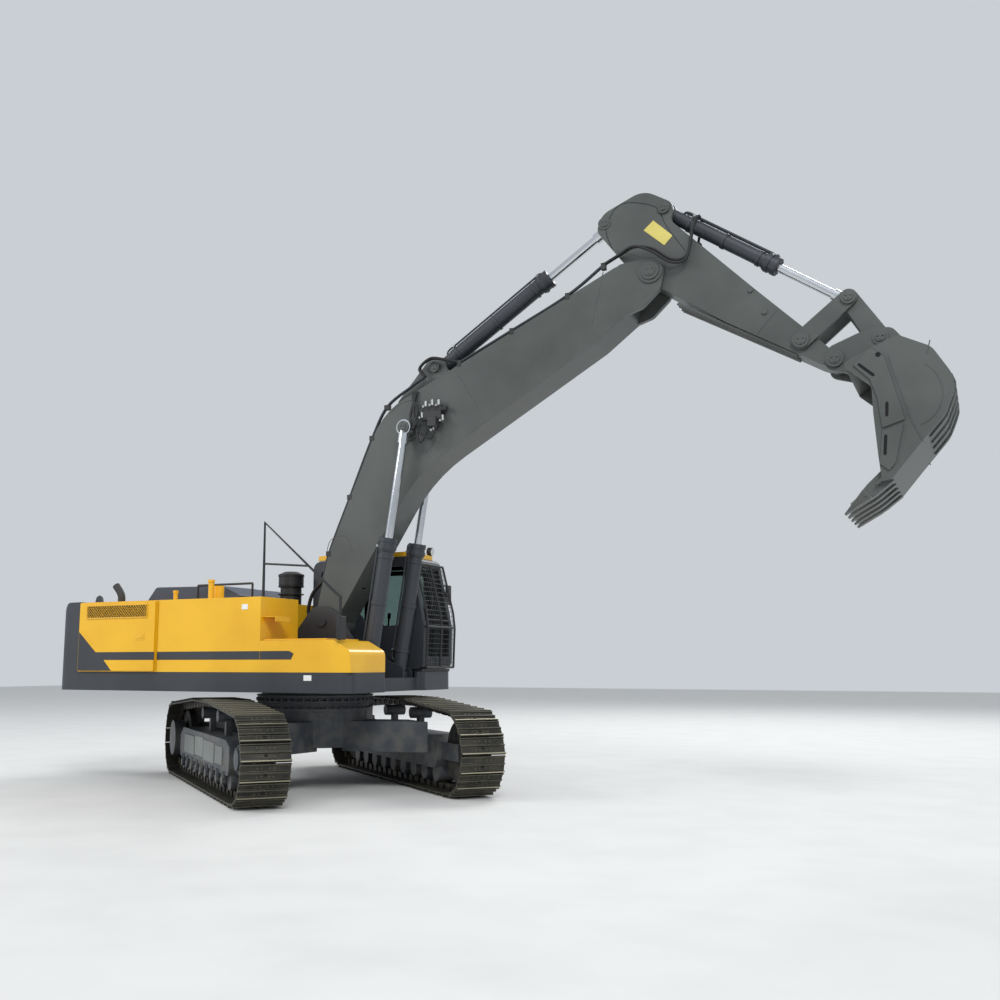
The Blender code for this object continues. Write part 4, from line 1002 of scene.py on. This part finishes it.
def cushion(name: str, centre: Point, size: Point, lean: float) -> bpy.types.Object:
    """Make a crowned cushion whose sides pull in between its corners.

    Args:
        name: piece name.
        centre: its middle, measured from the slew axis.
        size: length, width and height.
        lean: turn about Y in degrees.

    Returns:
        The new object.
    """
    mesh = bpy.data.meshes.new(name)
    bm = bmesh.new()
    bmesh.ops.create_cube(bm, size=2.0)
    bmesh.ops.subdivide_edges(bm, edges=bm.edges[:], cuts=15, use_grid_fill=True)
    half = Vector(size) / 2
    for vert in bm.verts:
        x, y, z = vert.co
        length = (abs(x) ** 5 + abs(y) ** 5 + abs(z) ** 5) ** 0.2
        x, y, z = x / length, y / length, z / length
        pull_x = 1 - 0.05 * math.cos(y * math.pi / 2)
        pull_y = 1 - 0.05 * math.cos(x * math.pi / 2)
        groove = 0.02 * math.exp(-((abs(y) - 0.45) / 0.05) ** 2)
        vert.co = (half.x * x * pull_x, half.y * y * pull_y, half.z * z * (1 - groove))
    bm.transform(Matrix.Translation(Vector(centre) + Vector((SLEW_X, 0, 0)))
                 @ Matrix.Rotation(math.radians(lean), 4, "Y"))
    bm.to_mesh(mesh)
    bm.free()
    obj = bpy.data.objects.new(name, mesh)
    bpy.context.collection.objects.link(obj)
    mesh.materials.append(CLOTH.build())
    mesh.shade_smooth()
    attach(obj, "upper_structure")
    return obj


def pin_point(pin: Point, y: float = 0.0) -> Vector:
    """Return a pin's (x, z) as a point at y."""
    return Vector((pin[0], y, pin[1]))


@dataclass
class Cylinder:
    """Trim of one hydraulic cylinder: gland bolts, pipes, clamps and ports."""

    name: str
    base: Vector
    head: Vector
    radius: float
    part: float
    barrel_body: str
    pipe_side: float = 1.0

    def build(self) -> None:
        """Build the trim along the barrel."""
        way = (self.head - self.base)
        length = way.length
        way.normalize()
        up = way.cross(Vector((0, 1, 0))).normalized() * self.pipe_side
        across = Vector((0, 1, 0))
        end = self.base + way * length * self.part
        dark = slewed()
        for t in (0.36, 0.36 + (length * self.part - 0.60) / 2, length * self.part - 0.24):
            here = self.base + way * t
            dark.rod(here - way * 0.02, here + way * 0.02, self.radius + 0.012, 28)
        gland = self.radius + 0.030
        dark.rod(end - way * 0.135, end - way * 0.085, gland, 28)
        dark.rod(end - way * 0.04, end + way * 0.012, gland - 0.004, 28)
        for k in range(12):
            a = 2 * math.pi * k / 12
            place = end + way * 0.012 + (up * math.cos(a) + across * math.sin(a)) * (gland - 0.014)
            dark.rod(place, place + way * 0.012, 0.009, 6)
        dark.finish(f"{self.name}_gland_and_clamps", CHARCOAL, self.barrel_body, 0.002)
        ports = slewed()
        for t in (0.36, length * self.part - 0.10):
            place = self.base + way * t + up * (self.radius - 0.01)
            ports.rod(place, place + up * 0.05, 0.030, 6)
            for side in (-1, 1):
                ports.rod(place + up * 0.03, place + up * 0.03 + across * 0.075 * side, 0.019, 6)
        ports.finish(f"{self.name}_ports", ZINC, self.barrel_body)
        pipes = slewed()
        for side in (-1, 1):
            off = up * (self.radius + 0.028) + across * 0.035 * side
            start = self.base + way * 0.20
            stop = end - way * 0.06
            pipes.tube([start + off * 0.6, start + off + way * 0.06, start + off + way * 0.3,
                        stop + off - way * 0.15, stop + off - way * 0.05, stop + off * 0.75], 0.014, 10)
            clamp, half = stop + off * 0.85, Vector((0.03, 0.022, 0.022))
            pipes.box(clamp - half, clamp + half)
        pipes.finish(f"{self.name}_oil_pipes", CHARCOAL, self.barrel_body)


@dataclass
class DiggingArm:
    """Boom, arm and linkage details."""

    shop: Shop
    boom_skin: float = 0.27
    arm_skin: float = 0.19

    def __post_init__(self) -> None:
        """Read the pins, as (x, z) from the slew axis."""
        self.pin = {name: Vector((p.x - SLEW_X, p.z)) for name, p in self.shop.joints.items()}
        self.foot = self.pin["boom_lift"]
        self.tip = self.pin["arm_crowd"]
        self.bucket = self.pin["bucket_curl"]
        self.lever = self.pin["lever_swing"]
        self.lever_top = self.pin["link_swing"]
        self.arm_base = self.pin["arm_cylinder_swing"]
        self.bucket_base = self.pin["bucket_cylinder_swing"]
        self.boom_base = self.pin["left_boom_cylinder_swing"]
        self.boom_rod = self.foot + Vector((1.38, 2.63))
        self.arm_rod = self.tip + Vector((-0.61, 0.79))

    def build(self) -> None:
        """Build every detail of the digging arm."""
        self._cylinders()
        self._boom_pins()
        self._boom_seams()
        self._valves()
        self._boom_pipes()
        self._arm_plates()
        self._arm_pins()
        self._joint_hoses()

    def _cylinders(self) -> None:
        """Trim of the four cylinders."""
        for side, y in (("left", 0.42), ("right", -0.42)):
            Cylinder(f"{side}_boom_cylinder", pin_point(self.boom_base, y),
                     pin_point(self.boom_rod, y), 0.10, 0.545, f"{side}_boom_barrel_body").build()
        Cylinder("arm_cylinder", pin_point(self.arm_base), pin_point(self.arm_rod), 0.105, 0.66,
                 "arm_barrel_body").build()
        Cylinder("bucket_cylinder", pin_point(self.bucket_base), pin_point(self.lever_top), 0.09,
                 0.62, "bucket_barrel_body").build()

    def _cap(self, shape: Shape, pin: Point, y: float, radius: float, bolts: int = 3) -> None:
        """Add a stepped pin end with its keeper bolts.

        Args:
            shape: the mesh to add to.
            pin: the pin's (x, z).
            y: where the end faces out from.
            radius: the end's radius.
            bolts: how many keeper bolts.
        """
        side = 1 if y > 0 else -1
        shape.rod(pin_point(pin, y), pin_point(pin, y + side * 0.012), radius, 32)
        shape.rod(pin_point(pin, y + side * 0.012), pin_point(pin, y + side * 0.024), radius * 0.62, 28)
        for k in range(bolts):
            a = 2 * math.pi * k / bolts + 0.5
            place = Vector((pin[0] + radius * 0.36 * math.cos(a), y + side * 0.024,
                            pin[1] + radius * 0.36 * math.sin(a)))
            shape.bolt(place, (0, side, 0), 0.011)

    def _boom_pins(self) -> None:
        """Pin ends and bosses on the boom."""
        pins = slewed()
        for side in (-1, 1):
            self._cap(pins, self.tip, side * 0.30, 0.115)
            self._cap(pins, self.arm_base, side * 0.195, 0.075)
            pins.rod(pin_point(self.tip, side * 0.268), pin_point(self.tip, side * 0.292), 0.155, 36)
        pins.finish("boom_pin_ends", BOOM_GREY, "boom_body", 0.003)
        rods = slewed()
        for side in (-1, 1):
            self._cap(rods, self.boom_rod, side * 0.30, 0.10)
            y = span(side, 0.30, 0.49)
            rods.rod(pin_point(self.boom_rod, y[0]), pin_point(self.boom_rod, y[1]), 0.048, 24)
            self._cap(rods, self.boom_rod, side * 0.48, 0.085)
        rods.finish("boom_cylinder_rod_pins", BOOM_GREY, "boom_body", 0.003)

    def _boom_seams(self) -> None:
        """Weld seams, with the outline of the doubler around the boom's knee."""
        seams = slewed()
        foot, tip = self.foot, self.tip
        rows = [((2.13, 3.32), (2.41, 2.84)), ((-0.62, 0.10), (-0.80, -0.60))]
        for origin, row in ((foot, rows[0]), (tip, rows[1])):
            a, b = origin + Vector(row[0]), origin + Vector(row[1])
            for side in (-1, 1):
                seams.rod((a.x, side * 0.2695, a.y), (b.x, side * 0.2695, b.y), 0.006, 8)
        for side in (-1, 1):
            knee = self.boom_rod
            turns = [math.radians(20 * k - 60) for k in range(11)]
            edge = [knee + Vector((0.42 * math.cos(a), 0.42 * math.sin(a))) for a in turns]
            seams.tube([(p.x, side * 0.2695, p.y) for p in edge], 0.005, 8)
            low = [foot + Vector(p) for p in ((0.02, 0.95), (0.10, 1.16), (0.34, 1.20), (0.46, 0.98))]
            seams.tube([(p.x, side * 0.2695, p.y) for p in low], 0.005, 8)
        seams.finish("boom_weld_seams", BOOM_GREY, "boom_body")

    def _valves(self) -> None:
        """Valve block with its couplings and hoses on the boom's right side."""
        block, fittings = slewed(), slewed()
        centre = self.foot + Vector((1.76, 2.82))
        x, z = centre
        block.box((x - 0.14, -0.36, z - 0.10), (x + 0.14, -0.27, z + 0.10))
        block.box((x - 0.05, -0.40, z - 0.20), (x + 0.08, -0.28, z - 0.07))
        block.rod((x - 0.20, -0.33, z + 0.04), (x + 0.22, -0.33, z + 0.04), 0.035, 16)
        for dx, dz in ((-0.10, 0.12), (0.0, 0.13), (0.10, 0.12), (-0.16, -0.03), (0.16, -0.10),
                       (0.02, -0.22)):
            fittings.rod((x + dx, -0.34, z + dz - 0.03), (x + dx, -0.34, z + dz + 0.05), 0.022, 6)
            fittings.rod((x + dx, -0.34, z + dz - 0.04), (x + dx, -0.42, z + dz - 0.04), 0.018, 6)
        block.finish("boom_valve_block", CAST, "boom_body", 0.004)
        fittings.finish("boom_valve_couplings", ZINC, "boom_body")
        hoses = slewed()
        for k, (dx, dz) in enumerate(((-0.16, -0.05), (-0.04, -0.24), (0.10, -0.20))):
            hoses.tube([(x + dx, -0.40, z + dz), (x + dx - 0.10, -0.44, z + dz - 0.18),
                        (x - 0.22 - 0.05 * k, -0.36, z + 0.02 - 0.06 * k), (x - 0.30, -0.31, z + 0.20),
                        (x - 0.34 + 0.04 * k, -0.28, z + 0.34)], 0.017, 10)
        hoses.finish("boom_valve_hoses", RUBBER, "boom_body")

    def _boom_pipes(self) -> None:
        """Steel pipes along the boom's back with clamps, and hoses at the foot and the knee."""
        foot, tip, base = self.foot, self.tip, self.arm_base
        back = [foot + Vector(p) for p in ((-0.02, 0.55), (0.08, 0.95), (0.42, 1.74), (0.78, 2.56),
                                           (1.02, 2.98), (1.40, 3.22), (1.62, 3.34))]
        front = [base + Vector(p) for p in ((0.42, -0.05), (1.2, 0.29), (2.0, 0.65))]
        front.append(tip + Vector((-0.62, 0.155)))
        pipes, clamps = slewed(), slewed()
        for y in (-0.255, -0.225, 0.225, 0.255):
            pipes.tube([(p.x - 0.02, y, p.y + 0.03) for p in back], 0.015, 10)
            pipes.tube([(p.x, y, p.y + 0.045) for p in front], 0.015, 10)
        for side in (-1, 1):
            y = side * 0.240
            for p in back[1:5]:
                clamps.box((p.x - 0.06, y - 0.035, p.y - 0.02), (p.x + 0.02, y + 0.035, p.y + 0.05))
            for p in front:
                clamps.box((p.x - 0.03, y - 0.035, p.y - 0.02), (p.x + 0.03, y + 0.035, p.y + 0.07))
        pipes.finish("boom_oil_pipes", CHARCOAL, "boom_body")
        clamps.finish("boom_pipe_clamps", CAST, "boom_body", 0.004)
        hoses = slewed()
        knee, start = back[-1], front[0]
        for k, y in enumerate((-0.255, -0.225, 0.225, 0.255)):
            hoses.tube([(knee.x - 0.02, y, knee.y + 0.03),
                        (base.x - 0.20, y * 1.05, base.y - 0.02 + 0.02 * k),
                        (base.x - 0.02, y * 1.12, base.y + 0.10),
                        (base.x + 0.20, y * 1.08, base.y + 0.06),
                        (start.x, y, start.y + 0.045)], 0.018, 10)
            hoses.tube([(back[0].x - 0.02, y, back[0].y + 0.03), (foot.x - 0.22, y, foot.y + 0.40),
                        (foot.x - 0.30, y * 0.9, foot.y + 0.15), (foot.x - 0.24, y * 0.8, foot.y - 0.05)],
                       0.018, 10)
        hoses.finish("boom_hoses", RUBBER, "boom_body")

    def _arm_plates(self) -> None:
        """Doubler on the arm's head, its seam as a painted shadow line, sticker, lug pads, guard bars and
        seams.
        """
        tip, base, bucket, lever = self.tip, self.bucket_base, self.bucket, self.lever
        head = [self.arm_rod + Vector(p) for p in ((0.10, -0.38), (0.02, -0.10), (0.14, 0.16),
                                                   (0.34, 0.22))]
        head += [base + Vector(p) for p in ((-0.10, 0.03), (0.02, -0.24), (0.25, -0.62))]
        head += [tip + Vector(p) for p in ((0.40, 0.10), (0.14, 0.18), (-0.10, 0.22))]
        plates, seam = slewed(), slewed()
        for side in (-1, 1):
            y = span(side, self.arm_skin - 0.004, self.arm_skin + 0.0025)
            plates.prism([(p.x, p.y) for p in head], *y)
            # Painted shade: a dark line in the no-light finish runs along the doubler's edge.
            loop = [(p.x, side * (self.arm_skin + 0.0005), p.y) for p in head[:7]]
            seam.tube(loop, 0.004, 8)
            for p in (lever + Vector((-0.55, 0.72)), lever + Vector((-0.40, 0.42))):
                y = span(side, self.arm_skin - 0.003, self.arm_skin + 0.022)
                plates.rod(pin_point(p, y[0]), pin_point(p, y[1]), 0.032, 8)
            low = [tip + Vector((0.30, -0.42)), bucket + Vector((-0.42, 0.155))]
            a, b = low
            plates.rod((a.x, side * 0.155, a.y - 0.025), (b.x, side * 0.155, b.y - 0.025), 0.020, 8)
            plates.rod((a.x, side * 0.07, a.y - 0.030), (b.x, side * 0.07, b.y - 0.030), 0.020, 8)
            c, d = bucket + Vector((-0.62, 0.70)), bucket + Vector((-0.86, 0.44))
            plates.rod((c.x, side * self.arm_skin, c.y), (d.x, side * self.arm_skin, d.y), 0.005, 8)
        plates.finish("arm_doublers_and_bars", BOOM_GREY, "arm_body", 0.003)
        seam.finish("arm_head_seam_shade", DEEP, "arm_body")
        corners = [tip + Vector(p) for p in ((0.04, 0.70), (0.28, 0.45), (0.17, 0.34), (-0.09, 0.59))]
        label = slewed().prism([(p.x, p.y) for p in corners], -self.arm_skin - 0.0085,
                               -self.arm_skin - 0.004)
        label.finish("arm_blank_sticker", VINYL_YELLOW, "arm_body")

    def _arm_pins(self) -> None:
        """Pin ends with keeper rings on the arm, lever, link and bucket."""
        rows = [("arm_pin_ends", "arm_body", ((self.arm_rod, 0.19, 0.085),
                                              (self.bucket_base, 0.21, 0.075))),
                ("lever_pin_ends", "lever_body", ((self.lever, 0.245, 0.095),)),
                ("link_pin_ends", "link_body", ((self.lever_top, 0.252, 0.085),)),
                ("bucket_pin_ends", "bucket_body", ((self.bucket, 0.262, 0.10),
                                                    (self.bucket + Vector((0.50, 0.19)), 0.24, 0.09)))]
        for name, body, pins in rows:
            shape = slewed()
            for pin, y, radius in pins:
                for side in (-1, 1):
                    self._cap(shape, pin, side * y, radius)
            shape.finish(name, BOOM_GREY, body, 0.003)
        cross = slewed()
        cross.rod(pin_point(self.arm_rod, -0.185), pin_point(self.arm_rod, 0.185), 0.047, 24)
        cross.finish("arm_cylinder_rod_pin", CHROME, "arm_body")
        far = self.bucket + Vector((0.50, 0.19))
        cross = slewed()
        cross.rod(pin_point(far, -0.245), pin_point(far, 0.245), 0.05, 24)
        cross.finish("bucket_link_pin", CHROME, "bucket_body")

    def _joint_hoses(self) -> None:
        """Hose pairs that bend over the arm's pivot to the bucket cylinder."""
        tip, base = self.tip, self.bucket_base
        for side in (-1, 1):
            pair = slewed()
            for k in range(2):
                y = side * (0.232 + 0.03 * k)
                out = side * (0.335 + 0.035 * k)
                drop = 0.05 * k
                pair.tube([(tip.x - 0.62, y, tip.y + 0.20), (tip.x - 0.40, y, tip.y + 0.30),
                           (tip.x - 0.18, out, tip.y + 0.33), (tip.x + 0.05, out, tip.y + 0.27 - drop),
                           (tip.x + 0.28, out - side * 0.04, tip.y + 0.10 - drop),
                           (tip.x + 0.46, out - side * 0.09, tip.y + 0.14 - drop),
                           (tip.x + 0.53, side * (0.215 + 0.03 * k), tip.y + 0.42),
                           (base.x + 0.33, side * 0.20, base.y - 0.40),
                           (base.x + 0.39, side * 0.15, base.y - 0.20),
                           (base.x + 0.42, side * (0.04 + 0.04 * k), base.y - 0.145)],
                          0.017, 10)
            piece = pair.finish("left_arm_hoses" if side > 0 else "right_arm_hoses", RUBBER, None)
            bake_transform(piece)


@dataclass
class Bucket:
    """Teeth, adapters, side cutters, wear plates and cheek details of the bucket."""

    shop: Shop
    half: float = 0.75
    teeth: int = 5

    def build(self) -> None:
        """Build the bucket's details."""
        self.pin = self.shop.joints["bucket_curl"] - Vector((SLEW_X, 0, 0))
        self._teeth()
        self._cheeks()
        self._back()

    def _at(self, x: float, z: float) -> tuple:
        """Return a point measured from the bucket pin."""
        return (self.pin.x + x, self.pin.z + z)

    def _teeth(self) -> None:
        """Lip, adapters and tapering tooth points."""
        steel, adapters = slewed(), slewed()
        root, tip = Vector(self._at(0.42, -1.55)), Vector(self._at(0.06, -1.86))
        way = (tip - root).normalized()
        up = Vector((-way.y, way.x))
        step = 2 * (self.half - 0.13) / (self.teeth - 1)
        for k in range(self.teeth):
            y = -self.half + 0.13 + step * k
            a = root + way * 0.10
            rows = [(root - way * 0.12, 0.060, 0.085), (a, 0.060, 0.075), (a + way * 0.10, 0.050, 0.062)]
            self._taper(adapters, rows, y, up)
            b = a + way * 0.07
            rows = [(b, 0.062, 0.068), (b + way * 0.12, 0.055, 0.045), (tip + way * 0.02, 0.042, 0.008)]
            self._taper(steel, rows, y, up)
            adapters.rod((b.x + way.x * 0.03, y - 0.068, b.y + way.y * 0.03),
                         (b.x + way.x * 0.03, y + 0.068, b.y + way.y * 0.03), 0.016, 12)
        lip = [root - way * 0.22 + up * 0.03, root + way * 0.04 + up * 0.012,
               root + way * 0.04 - up * 0.012, root - way * 0.22 - up * 0.03]
        adapters.prism([(p.x, p.y) for p in lip], 0.004 - self.half, self.half - 0.004)
        adapters.finish("bucket_lip_and_adapters", BOOM_GREY, "bucket_body", 0.004)
        steel.finish("bucket_tooth_points", WEAR, "bucket_body", 0.003)

    @staticmethod
    def _taper(shape: Shape, rows: list, y: float, up: Vector) -> None:
        """Loft rectangular sections.

        Args:
            shape: the mesh to add to.
            rows: (centre, half width, half height) of each section.
            y: where the sections' middle lies.
            up: the direction of their height, as (x, z).
        """
        rings = []
        for centre, wide, high in rows:
            lift = up * high
            rings.append([shape.bm.verts.new((centre.x + lift.x * s, y + wide * t, centre.y + lift.y * s))
                          for s, t in ((1, 1), (1, -1), (-1, -1), (-1, 1))])
        faces = [shape.bm.faces.new(rings[0]), shape.bm.faces.new(rings[-1])]
        for first, second in zip(rings, rings[1:]):
            for k in range(4):
                faces.append(shape.bm.faces.new((first[k - 1], first[k], second[k], second[k - 1])))
        bmesh.ops.recalc_face_normals(shape.bm, faces=faces)

    def _cheeks(self) -> None:
        """Side cutters with slots, edge doublers and the wear arc on both cheeks."""
        cutters, slots, lines = slewed(), slewed(), slewed()
        upper = [self._at(*p) for p in ((0.24, -0.24), (0.42, -0.07), (0.56, -0.20), (0.72, -0.90),
                                        (0.49, -0.97), (0.46, -0.62), (0.40, -0.42))]
        lower = [self._at(*p) for p in ((0.49, -1.00), (0.70, -0.94), (0.60, -1.36), (0.53, -1.44),
                                        (0.44, -1.36))]
        for side in (-1, 1):
            y = span(side, self.half - 0.004, self.half + 0.022)
            for outline in (upper, lower):
                cutters.prism(outline, *y)
            face = side * (self.half + 0.022)
            for (x0, z0), (x1, z1) in (((0.30, -0.24), (0.44, -0.38)), ((0.555, -0.70), (0.545, -0.84)),
                                       ((0.52, -1.06), (0.50, -1.26))):
                a, b = self._at(x0, z0), self._at(x1, z1)
                low, high = sorted((face - side * 0.002, face + side * 0.0015))
                way = (Vector(b) - Vector(a)).normalized() * 0.016
                n = Vector((-way.y, way.x))
                outline = [Vector(a) + n, Vector(a) - way, Vector(a) - n, Vector(b) - n, Vector(b) + way,
                           Vector(b) + n]
                slots.prism([(p.x, p.y) for p in outline], low, high)
            skin = side * (self.half + 0.001)
            arc = [self._at(0.80 + 0.30 * math.cos(a), -0.62 + 0.36 * math.sin(a)) for a in
                   (math.radians(60 - 17 * k) for k in range(9))]
            lines.tube([(x, skin, z) for x, z in arc], 0.006, 8)
            seam = [self._at(0.60, -0.18), self._at(0.78, -0.92), self._at(0.88, -1.16)]
            lines.tube([(x, skin, z) for x, z in seam], 0.006, 8, smooth=False)
            top = [self._at(1.02, -0.06), self._at(0.98, -0.20)]
            lines.tube([(x, skin, z) for x, z in top], 0.006, 8, smooth=False)
            eye = self._at(0.50, -0.155)
            slots.rod((eye[0], face - side * 0.002, eye[1]), (eye[0], face + side * 0.0015, eye[1]),
                      0.028, 20)
        cutters.finish("bucket_side_cutters", BOOM_GREY, "bucket_body", 0.003)
        # Painted shade: the slots and the eye hole are thin dark patches on the cutter faces, in the
        # no-light finish.
        slots.finish("bucket_cutter_slots", DEEP, "bucket_body")
        lines.finish("bucket_cheek_seams", BOOM_GREY, "bucket_body")

    def _back(self) -> None:
        """Wear straps down the back."""
        straps = slewed()
        middle = Vector(self._at(0.72, -0.62))
        line = []
        for k in range(9):
            a = math.radians(24 - 11 * k)
            way = Vector((math.cos(a), 0, math.sin(a)))
            start = Vector((middle.x + SLEW_X, 0.0, middle.y)) + way * 2.0
            point = self.shop.meets("bucket", start, -way)
            line.append((point.x - SLEW_X, point.z))
        for y in (-0.55, -0.18, 0.18, 0.55):
            for (xa, za), (xb, zb) in zip(line, line[1:]):
                way = Vector((xb - xa, zb - za)).normalized()
                out = Vector((-way.y, way.x)) * 0.020
                straps.prism([(xa, za), (xa + out.x, za + out.y), (xb + out.x, zb + out.y), (xb, zb)],
                             y - 0.04, y + 0.04)
        straps.finish("bucket_wear_straps", BOOM_GREY, "bucket_body", 0.003)


@dataclass
class Undercarriage:
    """Bolts, covers, guards and hub details below the slew ring."""

    shop: Shop

    def build(self) -> None:
        """Build the ring bolts and each side's hubs and covers."""
        ring = Shape((SLEW_X, 0, 0))
        low, high = (Vector(v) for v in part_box("swing_bearing"))
        radius = (high.x - low.x) / 2
        for k in range(48):
            a = 2 * math.pi * k / 48
            for z, r in ((low.z + 0.055, radius - 0.012), (high.z - 0.10, radius + 0.002)):
                place = Vector((r * math.cos(a), r * math.sin(a), z))
                ring.rod(place - Vector((0, 0, 0.03)), place + Vector((0, 0, 0.012)), 0.016, 6)
        for z in (low.z + 0.10, high.z - 0.06):
            ring.rod((0, 0, z), (0, 0, z + 0.012), radius + 0.012, 64)
        ring.finish("slew_ring_bolts", FRAME, "undercarriage")
        for side in ("left", "right"):
            self._side(side)

    def _side(self, side: str) -> None:
        """Hub covers, frame side plates, roller caps and chain guards of one track."""
        idler, sprocket = self.shop.middle(f"{side}_idler"), self.shop.middle(f"{side}_sprocket")
        along = (idler - sprocket).normalized()
        out = Vector((-along.y, along.x, 0)) * (1 if side == "left" else -1)
        centre = (idler + sprocket) / 2
        centre.z = 0
        matrix = Matrix(((along.x, out.x, 0, centre.x), (along.y, out.y, 0, centre.y),
                         (0, 0, 1, 0), (0, 0, 0, 1)))
        plates, dark = Shape(), Shape()
        for x0, x1, z0, z1, y in ((-1.30, -0.55, 0.40, 0.66, 0.236), (-0.50, 0.10, 0.42, 0.68, 0.232),
                                  (0.16, 0.85, 0.40, 0.66, 0.236), (0.90, 1.35, 0.42, 0.64, 0.232)):
            plates.box((x0, 0.19, z0), (x1, y, z1), matrix)
        for k in range(9):
            x = -1.42 + 2.84 * k / 8
            dark.rod(matrix @ Vector((x, 0.16, 0.245)), matrix @ Vector((x, 0.245, 0.245)), 0.055, 18)
            for dx in (-0.05, 0.05):
                dark.box((x + dx - 0.02, 0.18, 0.27), (x + dx + 0.02, 0.235, 0.36), matrix)
        for x, z, r in ((-2.17, 0.55, 0.26), (2.17, 0.55, 0.17)):
            for y0, y1, rr in ((0.10, 0.20, r), (0.20, 0.235, r * 0.72)):
                dark.rod(matrix @ Vector((x, y0, z)), matrix @ Vector((x, y1, z)), rr, 36)
            for k in range(12):
                a = 2 * math.pi * k / 12
                place = matrix @ Vector((x + r * 0.86 * math.cos(a), 0.20, z + r * 0.86 * math.sin(a)))
                dark.rod(place, place + out * 0.014, 0.014, 6)
        # The side plates' pale grey is partly a painted highlight: FRAME_SIDE is the frame enamel painted
        # lighter.
        plates.finish(f"{side}_frame_side_plates", FRAME_SIDE, "undercarriage", 0.004)
        dark.finish(f"{side}_hubs_and_roller_caps", FRAME, "undercarriage")


@dataclass
class Studio:
    """Plain pale floor, soft light and the camera."""

    place: tuple = (6.205, -13.014, 1.663)
    yaw: float = 117.765
    pitch: float = 9.388
    lens: float = 38.4
    shift: tuple = (0.076, -0.012)
    lamp_size: float = 12.0
    floor_half: float = 60.0

    def build(self) -> None:
        """Make floor, lights, world and camera."""
        bm = bmesh.new()
        bmesh.ops.create_grid(bm, x_segments=1, y_segments=1, size=self.floor_half)
        mesh = bpy.data.meshes.new("floor")
        bm.to_mesh(mesh)
        bm.free()
        floor = bpy.data.objects.new("floor", mesh)
        bpy.context.collection.objects.link(floor)
        floor.data.materials.append(Finish("pale_floor", "#D6D6D4", "#D1D1CF", 0.85).build())
        for name, place, power in (("key", (15, -22, 24), 5600.0), ("fill", (-22, -16, 15), 2600.0),
                                   ("rim", (2, 20, 20), 3200.0)):
            light = bpy.data.lights.new(name, "AREA")
            light.shape = "DISK"
            light.size = self.lamp_size
            light.energy = power
            lamp = bpy.data.objects.new(name, light)
            lamp.location = place
            lamp.rotation_euler = (Vector((0, 0, 2)) - Vector(place)).to_track_quat("-Z", "Y").to_euler()
            bpy.context.collection.objects.link(lamp)
        world = bpy.data.worlds.new("studio")
        world.use_nodes = True
        world.node_tree.nodes["Background"].inputs[0].default_value = linear("#DDE2E8")
        world.node_tree.nodes["Background"].inputs[1].default_value = 0.82
        bpy.context.scene.world = world
        camera = bpy.data.objects.new("camera", bpy.data.cameras.new("camera"))
        camera.location = self.place
        camera.rotation_euler = (math.radians(90 + self.pitch), 0, math.radians(self.yaw - 90))
        camera.data.lens = self.lens
        camera.data.shift_x, camera.data.shift_y = self.shift
        bpy.context.collection.objects.link(camera)
        bpy.context.scene.camera = camera
        bpy.context.scene.view_settings.view_transform = "Standard"
        log.info("studio ready")


def main() -> None:
    """Build the looks."""
    logging.basicConfig(level=logging.INFO, format="%(name)s: %(message)s")
    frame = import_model()
    Studio().build()
    shop = Shop(frame)
    Paintwork(shop).dress()
    for side in ("left", "right"):
        Track(shop, side).build()
    House(shop).build()
    Cab(shop).build()
    DiggingArm(shop).build()
    Bucket(shop).build()
    Undercarriage(shop).build()


if __name__ == "__main__":
    main()
